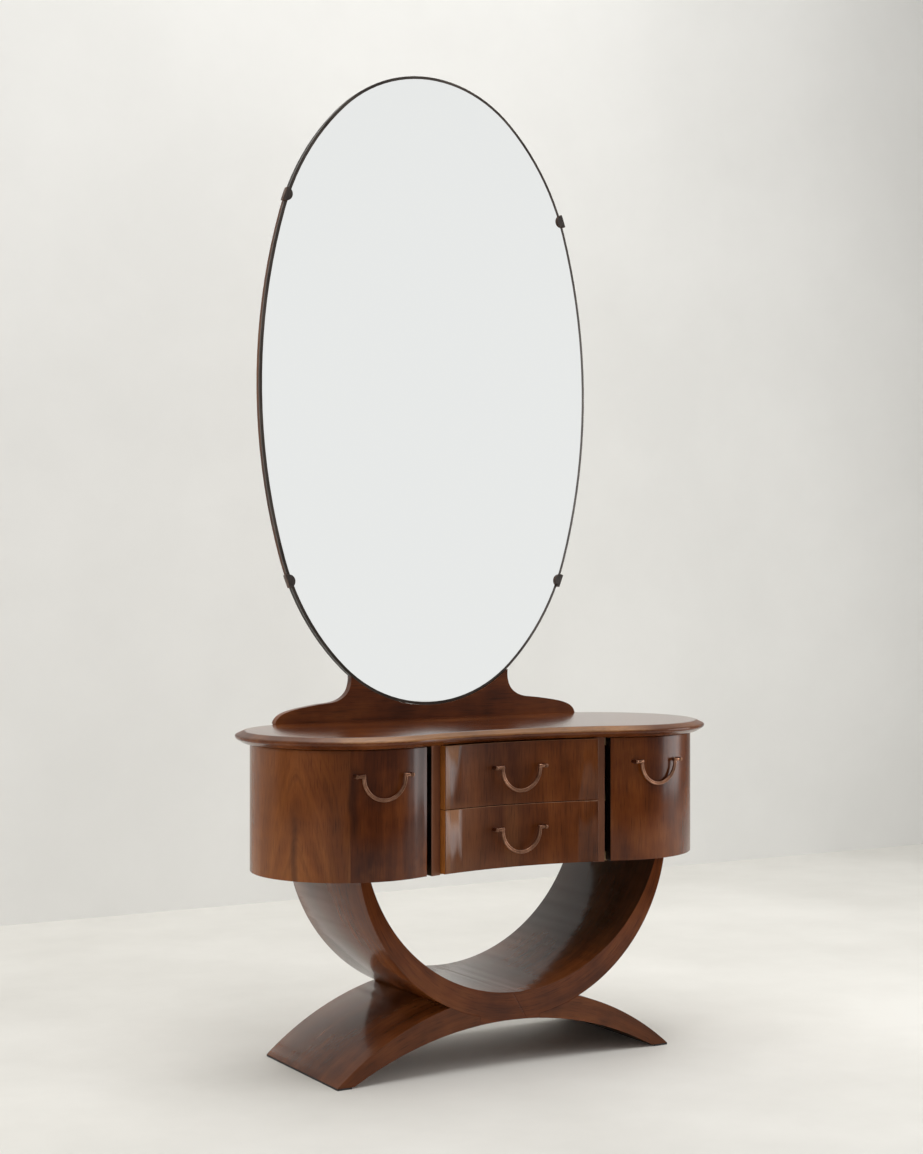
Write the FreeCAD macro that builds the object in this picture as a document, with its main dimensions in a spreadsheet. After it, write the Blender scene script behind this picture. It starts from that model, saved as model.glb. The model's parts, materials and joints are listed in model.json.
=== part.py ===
import FreeCAD, Part
import math
import os
from FreeCAD import Placement, Rotation, Vector
import Sketcher

# Dressing table: a waisted case with two drawers between two round-ended cupboards,
# on a U-shaped ring that crosses a low arched foot, with a tall oval mirror on the top.
# The origin is on the floor under the middle of the top; the front faces -Y, +X is right.

doc = FreeCAD.newDocument("dressing_table")

# Driving sizes in millimetres, angles in degrees
SIZES = [
    # table top
    ("top_height", 590),
    ("top_thickness", 21),
    ("top_end_radius", 193),
    ("end_offset", 268),
    ("waist_radius", 634),
    ("nose_upper_reach", 16),
    ("nose_upper_drop", 7),
    ("nose_under_reach", 15),
    ("nose_under_rise", 9),
    ("nose_roll", 4),
    ("nose_shoulder", 12),
    ("back_edge_depth", 25),
    # case
    ("overhang", 26),
    ("case_low", 345.5),
    ("board", 16),
    ("back_board", 6),
    ("divider_out", 178),
    ("divider_thick", 20),
    ("dust_thick", 12),
    ("shelf_thick", 12),
    ("shelf_gap", 3),
    ("shelf_rise_share", 0.5),
    ("shelf_pin_radius", 2),
    ("shelf_pin_out", 9),
    ("shelf_pin_sunk", 4),
    # doors
    ("door_thick", 16),
    ("door_edge", 188.5),
    ("door_gap", 1),
    ("door_foot_gap", 1),
    ("door_head_gap", 1.5),
    ("hinge_angle", 60),
    ("hinge_share", 0.27),
    ("hinge_inset", 22),
    ("leaf_thick", 1.1),
    ("leaf_depth", 13),
    ("leaf_gap", 0.3),
    ("knuckle_radius", 3.5),
    ("knuckle_stand", 0.6),
    ("knuckle_lap", 1),
    ("hinge_pin_radius", 1.5),
    ("catch_angle", 75),
    ("catch_width", 18),
    ("catch_depth", 20),
    ("catch_height", 14),
    ("strike_width", 16),
    ("strike_thick", 1.5),
    # drawers
    ("front_half", 157.5),
    ("front_proud", 16),
    ("front_thick", 22),
    ("front_foot_gap", 3),
    ("front_head_gap", 1),
    ("front_seam", 1),
    ("front_arris", 1.2),
    ("drawer_side", 10),
    ("drawer_bottom", 6),
    ("drawer_groove", 4),
    ("drawer_bottom_rise", 8),
    ("drawer_play", 1),
    ("drawer_head_play", 3),
    ("stop_thick", 10.7),
    ("stop_width", 30),
    ("stop_height", 25),
    ("stop_offset", 90),
    # handles
    ("post_offset", 50.5),
    ("post_radius", 3.4),
    ("post_tenon", 6),
    ("post_cap", 3.4),
    ("door_post_drop", 44.5),
    ("upper_post_drop", 44.5),
    ("lower_post_drop", 41.25),
    ("bail_clearance", 5.36),
    ("bail_half", 41.5),
    ("bail_width", 6.6),
    ("bail_thick", 4.4),
    ("bail_drop", 44.5),
    ("bail_groove", 1.8),
    ("bail_groove_depth", 0.9),
    ("bail_foot_radius", 3.3),
    ("bail_pin_radius", 1.6),
    ("bail_pin_length", 3.6),
    ("door_handle_turn", 4),
    # pedestal
    ("pedestal_inset", 25),
    ("ring_bottom", 84),
    ("ring_depth", 45.5),
    ("ring_outer_rise", 401),
    ("ring_inner_lift", 34),
    ("scarf_top", 15),
    ("scarf_foot", 18),
    ("foot_shift", 18),
    ("foot_half", 336.5),
    ("foot_upper_radius", 512),
    ("foot_upper_apex", 130),
    ("foot_lower_radius", 628),
    ("foot_lower_apex", 81.5),
    ("foot_block_half", 60),
    ("pad_thick", 3),
    ("pad_length", 27),
    # mirror
    ("mirror_lift", 25),
    ("mirror_half_height", 592.5),
    ("mirror_half_width", 350),
    ("mirror_end_radius", 263),
    ("mirror_end_half", 180),
    ("mirror_shoulder_radius", 450),
    ("mirror_shift", 3.5),
    ("mirror_back_set", 3),
    ("glass_thick", 4),
    ("glass_bevel_width", 5.5),
    ("glass_bevel_depth", 0.5),
    ("backing_thick", 10),
    ("backing_inset", 0.5),
    ("rail_thick", 16),
    ("rail_half", 323),
    ("rail_rise", 88),
    ("mirror_seat", 0.3),
    ("clip_rise", 352),
    ("clip_shift", 7),
    ("clip_radius", 12.6),
    ("clip_lap", 10.9),
    ("clip_out", 4.5),
    ("clip_thick", 3.5),
    ("clip_grip", 5),
    ("strap_offset", 90),
    ("strap_width", 25),
    ("strap_thick", 2.5),
    ("strap_low", 10),
    ("strap_length", 260),
    # fasteners
    ("screw_radius", 2),
    ("clip_screw_radius", 1.5),
    ("screw_head", 4),
    ("screw_head_thick", 2),
    ("screw_length", 26),
    ("ring_screw_length", 36),
    ("dowel_radius", 4),
    ("dowel_half", 14),
    # fits
    ("running_fit", 0.05),
    ("part_gap", 0.3),
    ("overrun", 5),
    ("edge_tolerance", 0.001),
]

sheet = doc.addObject("Spreadsheet::Sheet", "sizes")
for row, (alias, size) in enumerate(SIZES, start=1):
    sheet.set("A%d" % row, alias)
    sheet.set("B%d" % row, str(size))
    sheet.setAlias("B%d" % row, alias)
doc.recompute()

ALIASES = [alias for alias, size in SIZES]


def bound(text):
    """The expression with every size's name pointing at its cell."""
    words = []
    word = ""
    for letter in str(text) + " ":
        if letter.isalnum() or letter in "_.":
            word += letter
        else:
            words.append("sizes." + word if word in ALIASES else word)
            words.append(letter)
            word = ""
    return "".join(words).strip()


def number(text):
    """What an expression comes to now."""
    found = sheet.evalExpression(str(text))
    return float(getattr(found, "Value", found))


def bind(thing, target, text):
    thing.setExpression(target, bound(text))


# Shared places, written once as expressions of the sizes
WAIST_Y = "(-sqrt((top_end_radius + waist_radius)^2 - end_offset^2))"
CASE_END = "(top_end_radius - overhang)"
CASE_WAIST = "(waist_radius + overhang)"
TOP_UNDER = "(top_height - top_thickness)"
BOARD_END = "(%s - door_thick - door_gap)" % CASE_END
BOARD_WAIST = "(%s + door_thick + door_gap)" % CASE_WAIST
FRONT_OUT = "(%s - front_proud)" % CASE_WAIST
FRONT_IN = "(%s + front_thick)" % FRONT_OUT
BOARD_FRONT = "(%s + part_gap)" % FRONT_IN
DIVIDER_IN = "(divider_out - divider_thick)"
BACK_IN = "(%s - back_board)" % CASE_END
FLOOR_IN = "(case_low + board)"
CEILING_IN = "(%s - board)" % TOP_UNDER
FRONT_FOOT = "(case_low + front_foot_gap)"
FRONT_HEAD = "(%s - front_head_gap)" % TOP_UNDER
FRONT_SPLIT = "((%s + %s) / 2)" % (FRONT_FOOT, FRONT_HEAD)
MIRROR_Z = "(top_height + mirror_lift + mirror_half_height)"
RAIL_BACK = "(top_end_radius - mirror_back_set)"
RAIL_FRONT = "(%s - rail_thick)" % RAIL_BACK
GLASS_BACK = "(%s - backing_thick)" % RAIL_BACK
GLASS_FRONT = "(%s - glass_thick)" % GLASS_BACK
PEDESTAL_DEPTH = "(2 * (%s - pedestal_inset))" % CASE_END
RING_OUTER = "(ring_outer_rise - ring_bottom)"
RING_INNER_Z = "(ring_outer_rise + ring_inner_lift)"
RING_INNER = "(%s - ring_bottom - ring_depth)" % RING_INNER_Z
BAIL_REACH = "(%s - sqrt(%s^2 - bail_half^2) + bail_clearance)" % (CASE_END, CASE_END)
OVAL_END_DROP = "sqrt(mirror_end_radius^2 - mirror_end_half^2)"
OVAL_STEP = "((mirror_shoulder_radius - mirror_end_radius) / mirror_end_radius)"
SHOULDER_X = "(-%s * mirror_end_half)" % OVAL_STEP
SHOULDER_Z = "(mirror_half_height - mirror_end_radius - %s * %s)" % (OVAL_STEP, OVAL_END_DROP)
SHOULDER_SHORT = "(mirror_half_width - %s)" % SHOULDER_X
SIDE_RADIUS = "((%s^2 + %s^2 - mirror_shoulder_radius^2) / (2 * (%s - mirror_shoulder_radius)))" % (
    SHOULDER_SHORT, SHOULDER_Z, SHOULDER_SHORT)


def on_waist(radius, x):
    """Y of the waist's arc of this radius at x."""
    return "(%s + sqrt((%s)^2 - (%s)^2))" % (WAIST_Y, radius, x)


def tangent_x(end_radius):
    """X at which a round end of this radius meets its waist arc."""
    return "(end_offset - (%s) * end_offset / (top_end_radius + waist_radius))" % end_radius


def tangent_y(end_radius):
    return "((%s) * %s / (top_end_radius + waist_radius))" % (end_radius, WAIST_Y)


def plane_of(body, role):
    for feature in body.Origin.OriginFeatures:
        if feature.Role == role:
            return feature


def outline(body, name, plane, offset, corners, bends):
    """A closed outline through corners; bends gives the radius of a side that is an arc,
    positive where its centre is on the left of the way round."""
    sketch = body.newObject("Sketcher::SketchObject", name)
    sketch.AttachmentSupport = [(plane_of(body, plane), "")]
    sketch.MapMode = "FlatFace"
    bind(sketch, "AttachmentOffset.Base.z", offset)
    places = [Vector(number(x), number(y), 0) for x, y in corners]
    starts = []
    ends = []
    rules = []
    binds = []
    for side, here in enumerate(places):
        there = places[(side + 1) % len(places)]
        if side in bends:
            turn = 1 if not bends[side].startswith("-") else -1
            radius = number(bends[side].lstrip("-"))
            chord = there - here
            left = Vector(-chord.y, chord.x, 0)
            left.normalize()
            depth = math.sqrt(max(radius ** 2 - (chord.Length / 2) ** 2, 0))
            centre = (here + there) / 2 + left * depth * turn
            first, last = (here, there) if turn > 0 else (there, here)
            angles = [math.atan2(end.y - centre.y, end.x - centre.x) for end in (first, last)]
            circle = Part.Circle(centre, Vector(0, 0, 1), radius)
            sketch.addGeometry(Part.ArcOfCircle(circle, angles[0], angles[1]), False)
            starts.append(1 if turn > 0 else 2)
            ends.append(2 if turn > 0 else 1)
            rules.append(Sketcher.Constraint("Radius", side, radius))
            binds.append(bends[side].lstrip("-"))
        else:
            sketch.addGeometry(Part.LineSegment(here, there), False)
            starts.append(1)
            ends.append(2)
    for side, here in enumerate(places):
        rules.append(Sketcher.Constraint("DistanceX", side, starts[side], here.x))
        binds.append(corners[side][0])
        rules.append(Sketcher.Constraint("DistanceY", side, starts[side], here.y))
        binds.append(corners[side][1])
    for side in range(len(places)):
        after = (side + 1) % len(places)
        rules.append(Sketcher.Constraint("Coincident", side, ends[side], after, starts[after]))
        binds.append(None)
    sketch.addConstraint(rules)
    for index, text in enumerate(binds):
        if text is not None:
            bind(sketch, "Constraints[%d]" % index, text)
    return sketch


def padded(label, plane, corners, bends, low, depth):
    """A body padded from an outline; low is its lower place along the plane's normal."""
    body = doc.addObject("PartDesign::Body", label)
    body.Label = label
    offset = "-((%s) + (%s))" % (low, depth) if plane == "XZ_Plane" else low
    sketch = outline(body, label + "_outline", plane, offset, corners, bends)
    pad = body.newObject("PartDesign::Pad", label + "_pad")
    pad.Profile = sketch
    bind(pad, "Length", depth)
    return body


def pocketed(body, name, plane, corners, bends, low, depth):
    """Cuts an outline from the body, over a depth that starts at low."""
    offset = "-(%s)" % low if plane == "XZ_Plane" else "(%s) + (%s)" % (low, depth)
    sketch = outline(body, name + "_outline", plane, offset, corners, bends)
    pocket = body.newObject("PartDesign::Pocket", name)
    pocket.Profile = sketch
    bind(pocket, "Length", depth)
    return pocket


def square(x_low, x_high, y_low, y_high):
    return [(x_low, y_low), (x_high, y_low), (x_high, y_high), (x_low, y_high)]


def edges_where(feature, test):
    doc.recompute()
    return ["Edge%d" % (index + 1) for index, edge in enumerate(feature.Shape.Edges) if test(edge)]


def rounded(body, name, feature, radius, test):
    """Rounds the edges of a feature for which the test holds."""
    names = edges_where(feature, test)
    fillet = body.newObject("PartDesign::Fillet", name)
    fillet.Base = (feature, names)
    bind(fillet, "Radius", radius)
    return fillet


def sloped(body, name, feature, side, face, test):
    """Planes the edges for which the test holds, so much off the side and off the face."""
    names = edges_where(feature, test)
    chamfer = body.newObject("PartDesign::Chamfer", name)
    chamfer.Base = (feature, names)
    chamfer.ChamferType = "Two distances"
    bind(chamfer, "Size", side)
    bind(chamfer, "Size2", face)
    return chamfer


def at_height(height):
    """A test for the edges that lie level at a height."""
    def test(edge):
        box = edge.BoundBox
        return abs(box.ZMin - height) + abs(box.ZMax - height) < number("edge_tolerance")
    return test


def placed(thing, x, y, z):
    for axis, text in zip("xyz", (x, y, z)):
        bind(thing, "Placement.Base.%s" % axis, text)


def box(name, x, y, z, length, width, height):
    thing = doc.addObject("Part::Box", name)
    placed(thing, x, y, z)
    bind(thing, "Length", length)
    bind(thing, "Width", width)
    bind(thing, "Height", height)
    return thing


ALONG = {"x": Rotation(Vector(0, 1, 0), 90), "y": Rotation(Vector(1, 0, 0), -90), "z": Rotation()}


def rod(name, x, y, z, radius, length, along="z"):
    thing = doc.addObject("Part::Cylinder", name)
    thing.Placement = Placement(Vector(0, 0, 0), ALONG[along])
    placed(thing, x, y, z)
    bind(thing, "Radius", radius)
    bind(thing, "Height", length)
    return thing


def cut(name, base, tool):
    thing = doc.addObject("Part::Cut", name)
    thing.Base = base
    thing.Tool = tool
    return thing


def common(name, base, tool):
    thing = doc.addObject("Part::Common", name)
    thing.Base = base
    thing.Tool = tool
    return thing


def joined(name, shapes):
    thing = doc.addObject("Part::MultiFuse", name)
    thing.Shapes = shapes
    return thing


def grouped(name, links):
    thing = doc.addObject("Part::Compound", name)
    thing.Links = links
    return thing


parts = []


def keep(thing, label):
    """Marks a finished sub-part and gives it the name of its file."""
    thing.Label = label
    parts.append((label, thing))
    return thing


def sided(side):
    return "left" if side < 0 else "right"


def mirrored(corners, bends, side):
    """The same outline for the left side, where x and the turn of each arc change sign."""
    if side > 0:
        return corners, bends
    flipped = [("-(%s)" % x, y) for x, y in corners]
    turned = {key: text[1:] if text.startswith("-") else "-" + text for key, text in bends.items()}
    return flipped, turned


def table_top():
    """A pointed nose runs round the front and the ends; the back is square under the rail."""
    meet_x = tangent_x("top_end_radius")
    meet_y = tangent_y("top_end_radius")
    far = "end_offset + top_end_radius"
    corners = [
        ("-" + meet_x, meet_y), (meet_x, meet_y), (far, 0), ("end_offset", "top_end_radius"),
        ("-end_offset", "top_end_radius"), ("-(%s)" % far, 0),
    ]
    bends = {0: "-waist_radius", 1: "top_end_radius", 2: "top_end_radius",
             4: "top_end_radius", 5: "top_end_radius"}
    body = padded("table_top", "XY_Plane", corners, bends, TOP_UNDER, "top_thickness")
    upper = sloped(body, "nose_upper", body.Tip, "nose_upper_drop", "nose_upper_reach",
                   at_height(number("top_height")))
    under = sloped(body, "nose_under", upper, "nose_under_rise", "nose_under_reach",
                   at_height(number(TOP_UNDER)))
    tips = [at_height(number("top_height - nose_upper_drop")),
            at_height(number("%s + nose_under_rise" % TOP_UNDER))]
    tip = rounded(body, "nose_tip", under, "nose_roll", lambda edge: any(t(edge) for t in tips))
    flats = [at_height(number("top_height")), at_height(number(TOP_UNDER))]
    rounded(body, "nose_shoulders", tip, "nose_shoulder", lambda edge: any(t(edge) for t in flats))
    near = "top_end_radius - back_edge_depth"
    turn = "sqrt(top_end_radius^2 - (rail_half - end_offset)^2)"
    corners = [
        ("-rail_half", near), ("rail_half", near), ("rail_half", turn),
        ("end_offset", "top_end_radius"), ("-end_offset", "top_end_radius"), ("-rail_half", turn),
    ]
    bends = {2: "top_end_radius", 4: "top_end_radius"}
    edge = outline(body, "back_edge_outline", "XY_Plane", TOP_UNDER, corners, bends)
    square_edge = body.newObject("PartDesign::Pad", "back_edge")
    square_edge.Profile = edge
    bind(square_edge, "Length", "top_thickness")
    keep(body, "table_top")


def case_board(label, low):
    """A board of the case, behind the doors and the drawer fronts."""
    meet_x = tangent_x(BOARD_END)
    meet_y = tangent_y(BOARD_END)
    far = "end_offset + %s" % BOARD_END
    half = [
        (DIVIDER_IN, on_waist(BOARD_FRONT, DIVIDER_IN)),
        (DIVIDER_IN, on_waist(BOARD_WAIST, DIVIDER_IN)),
        (meet_x, meet_y), (far, 0), ("end_offset", BOARD_END), ("end_offset", BACK_IN),
    ]
    corners = half + [("-(%s)" % x, y) for x, y in reversed(half)]
    bends = {1: "-" + BOARD_WAIST, 2: BOARD_END, 3: BOARD_END, 7: BOARD_END, 8: BOARD_END,
             9: "-" + BOARD_WAIST, 11: "-" + BOARD_FRONT}
    keep(padded(label, "XY_Plane", corners, bends, low, "board"), label)


def back_panel():
    corners = square("-end_offset", "end_offset", BACK_IN, CASE_END)
    height = "%s - case_low" % TOP_UNDER
    keep(padded("back_panel", "XY_Plane", corners, {}, "case_low", height), "back_panel")


def divider(side):
    """Its front edge runs the whole height; behind it, the boards pass over and under."""
    label = sided(side) + "_divider"
    corners = [
        (DIVIDER_IN, on_waist(CASE_WAIST, DIVIDER_IN)),
        ("divider_out", on_waist(CASE_WAIST, "divider_out")),
        ("divider_out", BACK_IN), (DIVIDER_IN, BACK_IN),
    ]
    corners, bends = mirrored(corners, {}, side)
    body = padded(label, "XY_Plane", corners, bends, "case_low", "%s - case_low" % TOP_UNDER)
    edge = on_waist(BOARD_WAIST, "divider_out")
    inner = DIVIDER_IN + " - overrun" if side > 0 else "-divider_out - overrun"
    across = "divider_thick + 2 * overrun"
    rear = "%s + overrun" % BACK_IN
    notches = [("foot", "case_low - overrun", FLOOR_IN),
               ("head", CEILING_IN, "%s + overrun" % TOP_UNDER)]
    for place, low, high in notches:
        pocketed(body, "%s_%s_notch" % (label, place), "YZ_Plane",
                 square(edge, rear, low, high), {}, inner, across)
    keep(body, label)


def arc_point(radius, angle):
    """A point on a round end at an angle from its outward side."""
    return ("end_offset + (%s) * cos(%s)" % (radius, angle), "(%s) * sin(%s)" % (radius, angle))


# The gap between door and rear corner holds the two leaves of each hinge
LEAF_SIDE = "(leaf_thick + leaf_gap / 2)"
GAP_TURN = "(%s / %s * 180 / pi)" % (LEAF_SIDE, BOARD_END)


def rear_corner(side):
    """The fixed curved piece between the door's hinges and the back panel."""
    label = sided(side) + "_rear_corner"
    start = "(hinge_angle + %s)" % GAP_TURN
    corners = [arc_point(BOARD_END, start), arc_point(CASE_END, start),
               ("end_offset", CASE_END), ("end_offset", BOARD_END)]
    bends = {1: CASE_END, 3: "-" + BOARD_END}
    corners, bends = mirrored(corners, bends, side)
    body = padded(label, "XY_Plane", corners, bends, "case_low", "%s - case_low" % TOP_UNDER)
    keep(body, label)


def door(side):
    """A bent board from its free edge in the waist, round the end, to the hinges."""
    label = sided(side) + "_door"
    inner_end = "(%s - door_thick)" % CASE_END
    inner_waist = "(%s + door_thick)" % CASE_WAIST
    stop = "(hinge_angle - %s)" % GAP_TURN
    corners = [
        ("door_edge", on_waist(CASE_WAIST, "door_edge")),
        (tangent_x(CASE_END), tangent_y(CASE_END)),
        ("end_offset + %s" % CASE_END, 0),
        arc_point(CASE_END, stop),
        arc_point(inner_end, stop),
        ("end_offset + %s" % inner_end, 0),
        (tangent_x(inner_end), tangent_y(inner_end)),
        ("door_edge", on_waist(inner_waist, "door_edge")),
    ]
    bends = {0: "-" + CASE_WAIST, 1: CASE_END, 2: CASE_END, 4: "-" + inner_end,
             5: "-" + inner_end, 6: inner_waist}
    corners, bends = mirrored(corners, bends, side)
    low = "case_low + door_foot_gap"
    height = "%s - case_low - door_foot_gap - door_head_gap" % TOP_UNDER
    keep(padded(label, "XY_Plane", corners, bends, low, height), label)


def turned(thing, side, angle, radius, z):
    """Sets a piece, made at the origin with +X outward, on a round end at an angle."""
    around = number(angle) if side > 0 else 180 - number(angle)
    thing.Placement = Placement(Vector(0, 0, 0), Rotation(Vector(0, 0, 1), around))
    x, y = arc_point(radius, angle)
    placed(thing, x if side > 0 else "-(%s)" % x, y, z)
    return thing


HINGE_AXIS = "(%s + knuckle_radius + knuckle_stand)" % CASE_END
HINGE_HEIGHT = "((%s - case_low) * hinge_share)" % TOP_UNDER
HINGE_PLACES = ["case_low + hinge_inset", "%s - hinge_inset - %s" % (TOP_UNDER, HINGE_HEIGHT)]
LEAF_START = "(-knuckle_radius - part_gap - leaf_depth)"


def leaf(label, side, low, toward, knuckles):
    """One leaf of a hinge and its knuckles, about the barrel's axis at the origin;
    toward is +1 where the leaf lies on the far side of the axis from the door's end."""
    start = "leaf_gap / 2" if toward > 0 else "-leaf_gap / 2 - leaf_thick"
    plate = box(label + "_plate", LEAF_START, start, 0, "leaf_depth", "leaf_thick", HINGE_HEIGHT)
    solids = [plate]
    for index, (foot, height) in enumerate(knuckles):
        name = "%s_knuckle_%d" % (label, index + 1)
        solids.append(rod(name, 0, 0, foot, "knuckle_radius", height))
        arm = "knuckle_radius + part_gap + knuckle_lap"
        solids.append(box(name + "_arm", "-(%s)" % arm, start, foot, arm, "leaf_thick", height))
    whole = joined(label + "_blank", solids)
    bore = rod(label + "_bore", 0, 0, "-overrun", "hinge_pin_radius + running_fit",
               HINGE_HEIGHT + " + 2 * overrun")
    return turned(cut(label, whole, bore), side, "hinge_angle", HINGE_AXIS, low)


THIRD = "(%s / 3)" % HINGE_HEIGHT
OUTER_KNUCKLES = [("0", THIRD), ("2 * %s" % THIRD, THIRD)]
MIDDLE_KNUCKLE = [("%s + part_gap" % THIRD, "%s - 2 * part_gap" % THIRD)]


def hinges():
    """Two hinges for each door; the pins stay with the case."""
    case_leaves = []
    pins = []
    for side in (-1, 1):
        door_leaves = []
        for index, low in enumerate(HINGE_PLACES):
            name = "%s_hinge_%d" % (sided(side), index + 1)
            case_leaves.append(leaf(name + "_case_leaf", side, low, side, OUTER_KNUCKLES))
            door_leaves.append(leaf(name + "_door_leaf", side, low, -side, MIDDLE_KNUCKLE))
            pin = rod(name + "_pin", 0, 0, 0, "hinge_pin_radius", HINGE_HEIGHT)
            pins.append(turned(pin, side, "hinge_angle", HINGE_AXIS, low))
        keep(joined(sided(side) + "_door_leaves", door_leaves), sided(side) + "_door_hinge_leaves")
    keep(joined("case_leaves", case_leaves), "case_hinge_leaves")
    keep(joined("pins", pins), "hinge_pins")


def catches():
    """A magnetic catch under the ceiling of each cupboard, and its bent strike on the door."""
    housings = []
    strike_out = "(%s - door_thick - part_gap)" % CASE_END
    strike_in = "(%s - strike_thick)" % strike_out
    half_turn = "(strike_width / 2 / %s * 180 / pi)" % strike_out
    first = "(-catch_angle - %s)" % half_turn
    last = "(-catch_angle + %s)" % half_turn
    catch_out = "(sqrt(%s^2 - (catch_width / 2)^2) - part_gap)" % strike_in
    low = "%s - catch_height" % CEILING_IN
    for side in (-1, 1):
        name = sided(side)
        housing = box(name + "_catch_block", "-catch_depth", "-catch_width / 2", 0,
                      "catch_depth", "catch_width", "catch_height")
        housing = grouped(name + "_catch", [housing])
        housings.append(turned(housing, side, "-catch_angle", catch_out, low))
        corners = [arc_point(strike_in, last), arc_point(strike_in, first),
                   arc_point(strike_out, first), arc_point(strike_out, last)]
        corners, bends = mirrored(corners, {0: "-" + strike_in, 2: strike_out}, side)
        strike = padded(name + "_strike", "XY_Plane", corners, bends, low, "catch_height")
        keep(strike, name + "_door_strike")
    keep(joined("catch_housings", housings), "door_catches")


SHELF_Z = "(%s + (%s - %s) * shelf_rise_share - shelf_thick / 2)" % (FLOOR_IN, CEILING_IN, FLOOR_IN)
SHELF_END = "(%s - shelf_gap)" % BOARD_END


def shelf(side):
    label = sided(side) + "_shelf"
    near = "(divider_out + part_gap)"
    front = "(-sqrt(%s^2 - (end_offset - %s)^2))" % (SHELF_END, near)
    corners = [(near, front), ("end_offset", "-" + SHELF_END),
               ("end_offset + %s" % SHELF_END, 0), ("end_offset", SHELF_END), (near, SHELF_END)]
    bends = {0: SHELF_END, 1: SHELF_END, 2: SHELF_END}
    corners, bends = mirrored(corners, bends, side)
    keep(padded(label, "XY_Plane", corners, bends, SHELF_Z, "shelf_thick"), label)


def shelf_pins():
    """Short pins under each shelf: two in the divider and one in the rear corner."""
    pins = []
    length = "shelf_pin_out + shelf_pin_sunk"
    height = "%s - shelf_pin_radius" % SHELF_Z
    for side in (-1, 1):
        name = sided(side)
        for index, y in enumerate(("-%s / 2" % SHELF_END, "%s / 2" % SHELF_END)):
            x = "divider_out - shelf_pin_sunk" if side > 0 else "-divider_out - shelf_pin_out"
            pins.append(rod("%s_shelf_pin_%d" % (name, index + 1), x, y, height,
                            "shelf_pin_radius", length, "x"))
        middle = number("(hinge_angle + 90) / 2")
        x, y = arc_point("(%s - shelf_pin_out)" % BOARD_END, "(hinge_angle + 90) / 2")
        pin = rod(name + "_shelf_pin_3", 0, 0, 0, "shelf_pin_radius", length)
        around = Rotation(Vector(0, 0, 1), middle if side > 0 else 180 - middle)
        pin.Placement = Placement(Vector(0, 0, 0), around.multiply(ALONG["x"]))
        placed(pin, x if side > 0 else "-(%s)" % x, y, height)
        pins.append(pin)
    keep(joined("pins_of_shelves", pins), "shelf_pins")


def dust_board():
    """The board between the two drawers."""
    front = on_waist(BOARD_FRONT, DIVIDER_IN)
    corners = [("-" + DIVIDER_IN, front), (DIVIDER_IN, front), (DIVIDER_IN, BACK_IN),
               ("-" + DIVIDER_IN, BACK_IN)]
    low = "%s - dust_thick / 2" % FRONT_SPLIT
    body = padded("dust_board", "XY_Plane", corners, {0: "-" + BOARD_FRONT}, low, "dust_thick")
    keep(body, "dust_board")


LOWER_FLOOR = FLOOR_IN
LOWER_CEILING = "(%s - dust_thick / 2)" % FRONT_SPLIT
UPPER_FLOOR = "(%s + dust_thick / 2)" % FRONT_SPLIT
UPPER_CEILING = CEILING_IN
DRAWER_REAR = "(%s - stop_thick - part_gap)" % BACK_IN


def drawer_stops():
    """Blocks on the back panel that the drawers close against."""
    blocks = []
    for name, floor in (("lower", LOWER_FLOOR), ("upper", UPPER_FLOOR)):
        for side in (-1, 1):
            x = "%d * stop_offset - stop_width / 2" % side
            blocks.append(box("%s_%s_stop" % (name, sided(side)), x, "%s - stop_thick" % BACK_IN,
                              floor, "stop_width", "stop_thick", "stop_height"))
    keep(joined("stops", blocks), "drawer_stops")


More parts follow.
